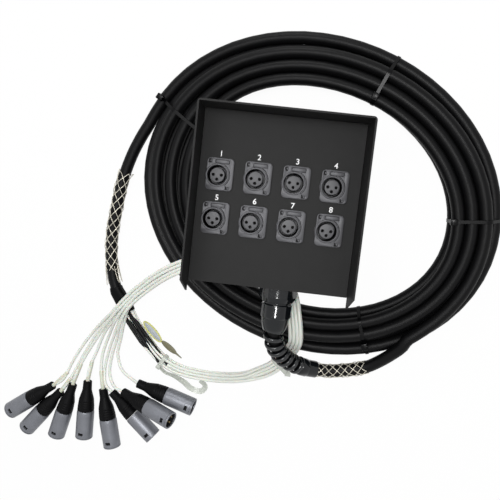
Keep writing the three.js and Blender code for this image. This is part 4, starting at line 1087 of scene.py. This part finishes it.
# Sockets ----------------------------------------
BARREL_R = 8.9
HOLE_CIRCLE, HOLE_ANGLES = 3.75, (177, 3, 270)
LATCH_X, LATCH_Y = 1.5, 11.3
keyhole = [(5.9, -10.3), (6.8, -10.3), (6.8, -11.7)]
for deg in range(150, -91, -20):
    a = math.radians(deg)
    keyhole.append((8.3 + 1.25 * math.cos(a), -12.2 + 1.25 * math.sin(a)))
keyhole += [(5.9, -13.4)]
flange_mesh = plate(
    "xlr_flange",
    [
        round_rect(24.4, 29, 3.7),
        circle(BARREL_X, BARREL_Y, BARREL_R, 64),
        round_rect(12.64, 3.66, 0.5, 4, LATCH_X, LATCH_Y),
        arc_slot(BARREL_X, BARREL_Y, 11.35, 1.1, 82, -52),
        round_rect(2.6, 3.8, 1.2, 5, -9.6, 11.3),
        keyhole,
    ],
    0.3,
    2.3,
    0.22,
)
barrel_profile = [
    (BARREL_R, -22), (11.1, -22), (11.1, 0.2), (10.75, 0.3), (10.6, 2.2), (10.4, 2.75), (10.1, 2.9),
    (9.35, 2.9), (9.0, 2.75), (BARREL_R, 2.4), (BARREL_R, -22),
]
barrel_mesh = lathe("xlr_barrel", barrel_profile, 64, 30)
core_profile = [
    (0, -22), (8.6, -22), (8.6, -17), (6.6, -17), (6.6, 1.2), (6.45, 1.5), (6.1, 1.6), (0, 1.6),
]
hole_profile = [(0, -8), (1.4, -8), (1.4, 1.3), (1.6, 1.7), (1.6, 3), (0, 3)]
insert_mesh = cut_mesh(
    "xlr_insert",
    lathe("core", core_profile, 56, 30),
    [
        joined("hole", [(lathe("hole", hole_profile, 20, 30), on_circle(HOLE_CIRCLE, a))])
        for a in HOLE_ANGLES
    ],
)
# The contacts in the insert's holes take the dark recess colour: painted shade in the holes
contact_profile = [
    (0, -7.8), (1.3, -7.8), (1.3, 0.2), (1.15, 0.35), (0.75, 0.35), (0.75, -6), (0, -6),
]
contact = lathe("contact", contact_profile, 18, 30)
# A thin dark sleeve on the barrel's inner wall: painted shade in the gap round the insert
wall_shade_profile = [(8.62, -16.9), (8.86, -16.9), (8.86, 2.3), (8.62, 2.3), (8.62, -16.9)]
contacts_and_wall_shade_mesh = joined(
    "contacts",
    [(contact, on_circle(HOLE_CIRCLE, a)) for a in HOLE_ANGLES]
    + [(lathe("wall_shade", wall_shade_profile, 56, 30), IDENTITY)],
)
latch_mesh = joined(
    "push_latch",
    [
        (bevelled("latch", (-6.2, 9.6, -5), (6.2, 13.0, 2.75), 0.35), IDENTITY),
        (bevelled("latch_foot", (-7.0, 9.7, -3), (7.0, 12.9, 0), 0.2), IDENTITY),
    ],
)
SCREWS_AT, SCREW_SCALE = ((-8.9, 11.4), (8.4, -12.1)), 0.42
NUMBER_SIZE, NUMBER_DEPTH, NUMBER_SWELL = 7.0, 0.06, 0.1
NUMBER_X, NUMBER_Y = -0.5, 18.3
for n, (x, y) in enumerate(SOCKETS, 1):
    place, barrel_place = case_matrix(x, y, 0), case_matrix(x + BARREL_X, y + BARREL_Y, 0)
    flange = put("xlr_flange_%d" % n, flange_mesh, place, SOCKET)
    barrel = put("xlr_barrel_%d" % n, barrel_mesh, barrel_place, SOCKET)
    insert = put("xlr_insert_form_%d" % n, insert_mesh, barrel_place, INSERT)
    # Contacts and wall sleeve: painted shade in the socket's holes and round its insert
    put("xlr_contacts_and_wall_shade_%d" % n, contacts_and_wall_shade_mesh, barrel_place, RECESS_SHADE)
    latch_place = case_matrix(x + LATCH_X, y, 0)
    latch = put("push_latch_form_%d" % n, latch_mesh, latch_place, SOCKET, "latch_%d" % n)
    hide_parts("xlr_shell_%d" % n)
    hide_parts("xlr_insert_%d" % n)
    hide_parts("push_latch_%d" % n)
    for k, (sx, sy) in enumerate(SCREWS_AT, 1):
        screw_place = case_matrix(x + sx, y + sy, 1.5) @ Matrix.Scale(SCREW_SCALE, 4)
        put("socket_screw_%d_%d" % (n, k), screw_mesh, screw_place, SOCKET)
    text = bpy.data.curves.new("number_%d" % n, "FONT")
    text.body = str(n)
    text.align_x = "CENTER"
    text.align_y = "CENTER"
    text.size = NUMBER_SIZE * MM
    text.extrude = NUMBER_DEPTH * MM
    text.offset = NUMBER_SWELL * MM
    put("number_%d" % n, text, case_matrix(x + NUMBER_X, y + NUMBER_Y, NUMBER_DEPTH), PRINT)

# Cover screws, two on each side
COVER_X, COVER_Y, COVER_Z, COVER_PROUD = 74.5, 55, -41, 0.3
for side, side_name in ((-1, "l"), (1, "r")):
    for end_at, end_name in ((-COVER_Y, "a"), (COVER_Y, "b")):
        outwards = Matrix.Rotation(side * math.pi / 2, 4, "Y")
        m = case_matrix(side * COVER_X, end_at, COVER_Z) @ outwards @ moved(0, 0, COVER_PROUD)
        put("cover_screw_%s_%s" % (side_name, end_name), screw_mesh, m, SCREW)


# Floor and light --------------------------------
def seen_directly(tree):
    """1 for rays from the camera, from a reflection or through clear material, otherwise 0."""
    rays = add(tree.nodes, "LightPath")
    total = rays.outputs["Is Camera Ray"]
    for name in ("Is Glossy Ray", "Is Transmission Ray"):
        more = add(tree.nodes, "Math")
        more.operation = "MAXIMUM"
        tree.links.new(total, more.inputs[0])
        tree.links.new(rays.outputs[name], more.inputs[1])
        total = more.outputs["Value"]
    return total


def show_mix(tree, output, share, under, over):
    """Sends a mix of two shaders to the output, the second by the share."""
    mix = add(tree.nodes, "MixShader")
    for i, source in enumerate((share, under, over)):
        tree.links.new(source, mix.inputs[i])
    tree.links.new(mix.outputs["Shader"], tree.nodes[output].inputs["Surface"])


FLOOR_HALF, FLOOR_SINK = 4, 0.0004  # half its width, and how far it lies below the feet
FLOOR_WHITE = 0.96  # share of the floor that shows as plain white, the rest keeps the shadow
floor_data = bpy.data.meshes.new("floor")
corners = [(x * FLOOR_HALF, y * FLOOR_HALF, 0) for x, y in ((-1, -1), (1, -1), (1, 1), (-1, 1))]
floor_data.from_pydata(corners, [], [(0, 1, 2, 3)])
floor_look = bpy.data.materials.new("floor")
floor_look.use_nodes = True
tree = floor_look.node_tree
paper = fill(tree.nodes["Principled BSDF"], Base_Color=(0.86, 0.86, 0.86, 1), Roughness=0.9)
glow = add(tree.nodes, "Emission", Color=WHITE, Strength=1.0)
part = add(tree.nodes, "Math")
part.operation = "MULTIPLY"
part.inputs[1].default_value = FLOOR_WHITE
tree.links.new(seen_directly(tree), part.inputs[0])
show_mix(tree, "Material Output", *(node.outputs[0] for node in (part, paper, glow)))
floor = put("floor", floor_data, Matrix.Translation((0, 0, -FLOOR_SINK)), floor_look, None)
floor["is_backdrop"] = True

# The light of the surroundings fades from near the floor, strong, to overhead, weak
world = bpy.data.worlds.new("world")
scene.world = world
world.use_nodes = True
tree = world.node_tree
back = fill(tree.nodes["Background"], Color=WHITE)
toward = add(tree.nodes, "TexCoord")
split = add(tree.nodes, "SeparateXYZ")
tree.links.new(toward.outputs["Generated"], split.inputs["Vector"])
fade = add(tree.nodes, "MapRange", From_Min=0.1, From_Max=0.95, To_Min=0.62, To_Max=0.12)
tree.links.new(split.outputs["Z"], fade.inputs["Value"])
tree.links.new(fade.outputs["Result"], back.inputs["Strength"])
seen = add(tree.nodes, "Background", Color=WHITE, Strength=1.0)
show_mix(tree, "World Output", seen_directly(tree), back.outputs[0], seen.outputs[0])


def area(name, at, aim, size, power):
    data = bpy.data.lights.new(name, "AREA")
    data.shape = "SQUARE"
    data.size = size
    data.energy = power
    made = linked(name, data)
    made.location = at
    made.rotation_euler = (Vector(aim) - Vector(at)).to_track_quat("-Z", "Y").to_euler()


NUT = (0.0095, -0.0958, 0.058)  # the front flat of the dome nut, which carries the glint
# place, aim, size and power
LIGHTS = {
    "key": ((0.16, 0.3, 1.35), (0, 0, 0), 0.34, 4.5),
    "flash": ((0.17, 0.2, 1.3), NUT, 0.13, 4.8),
    "fill": ((-0.3, 0.3, 1.4), (0, 0.05, 0), 0.5, 5),
    "rim": ((-0.2, 1.1, 0.55), (0, 0.15, 0.02), 0.4, 4),
    "spark": ((0.225, -0.252, 1.276), NUT, 0.04, 1.1),
}
for name, values in LIGHTS.items():
    area(name, *values)

scene.view_settings.view_transform = "Standard"

low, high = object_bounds()
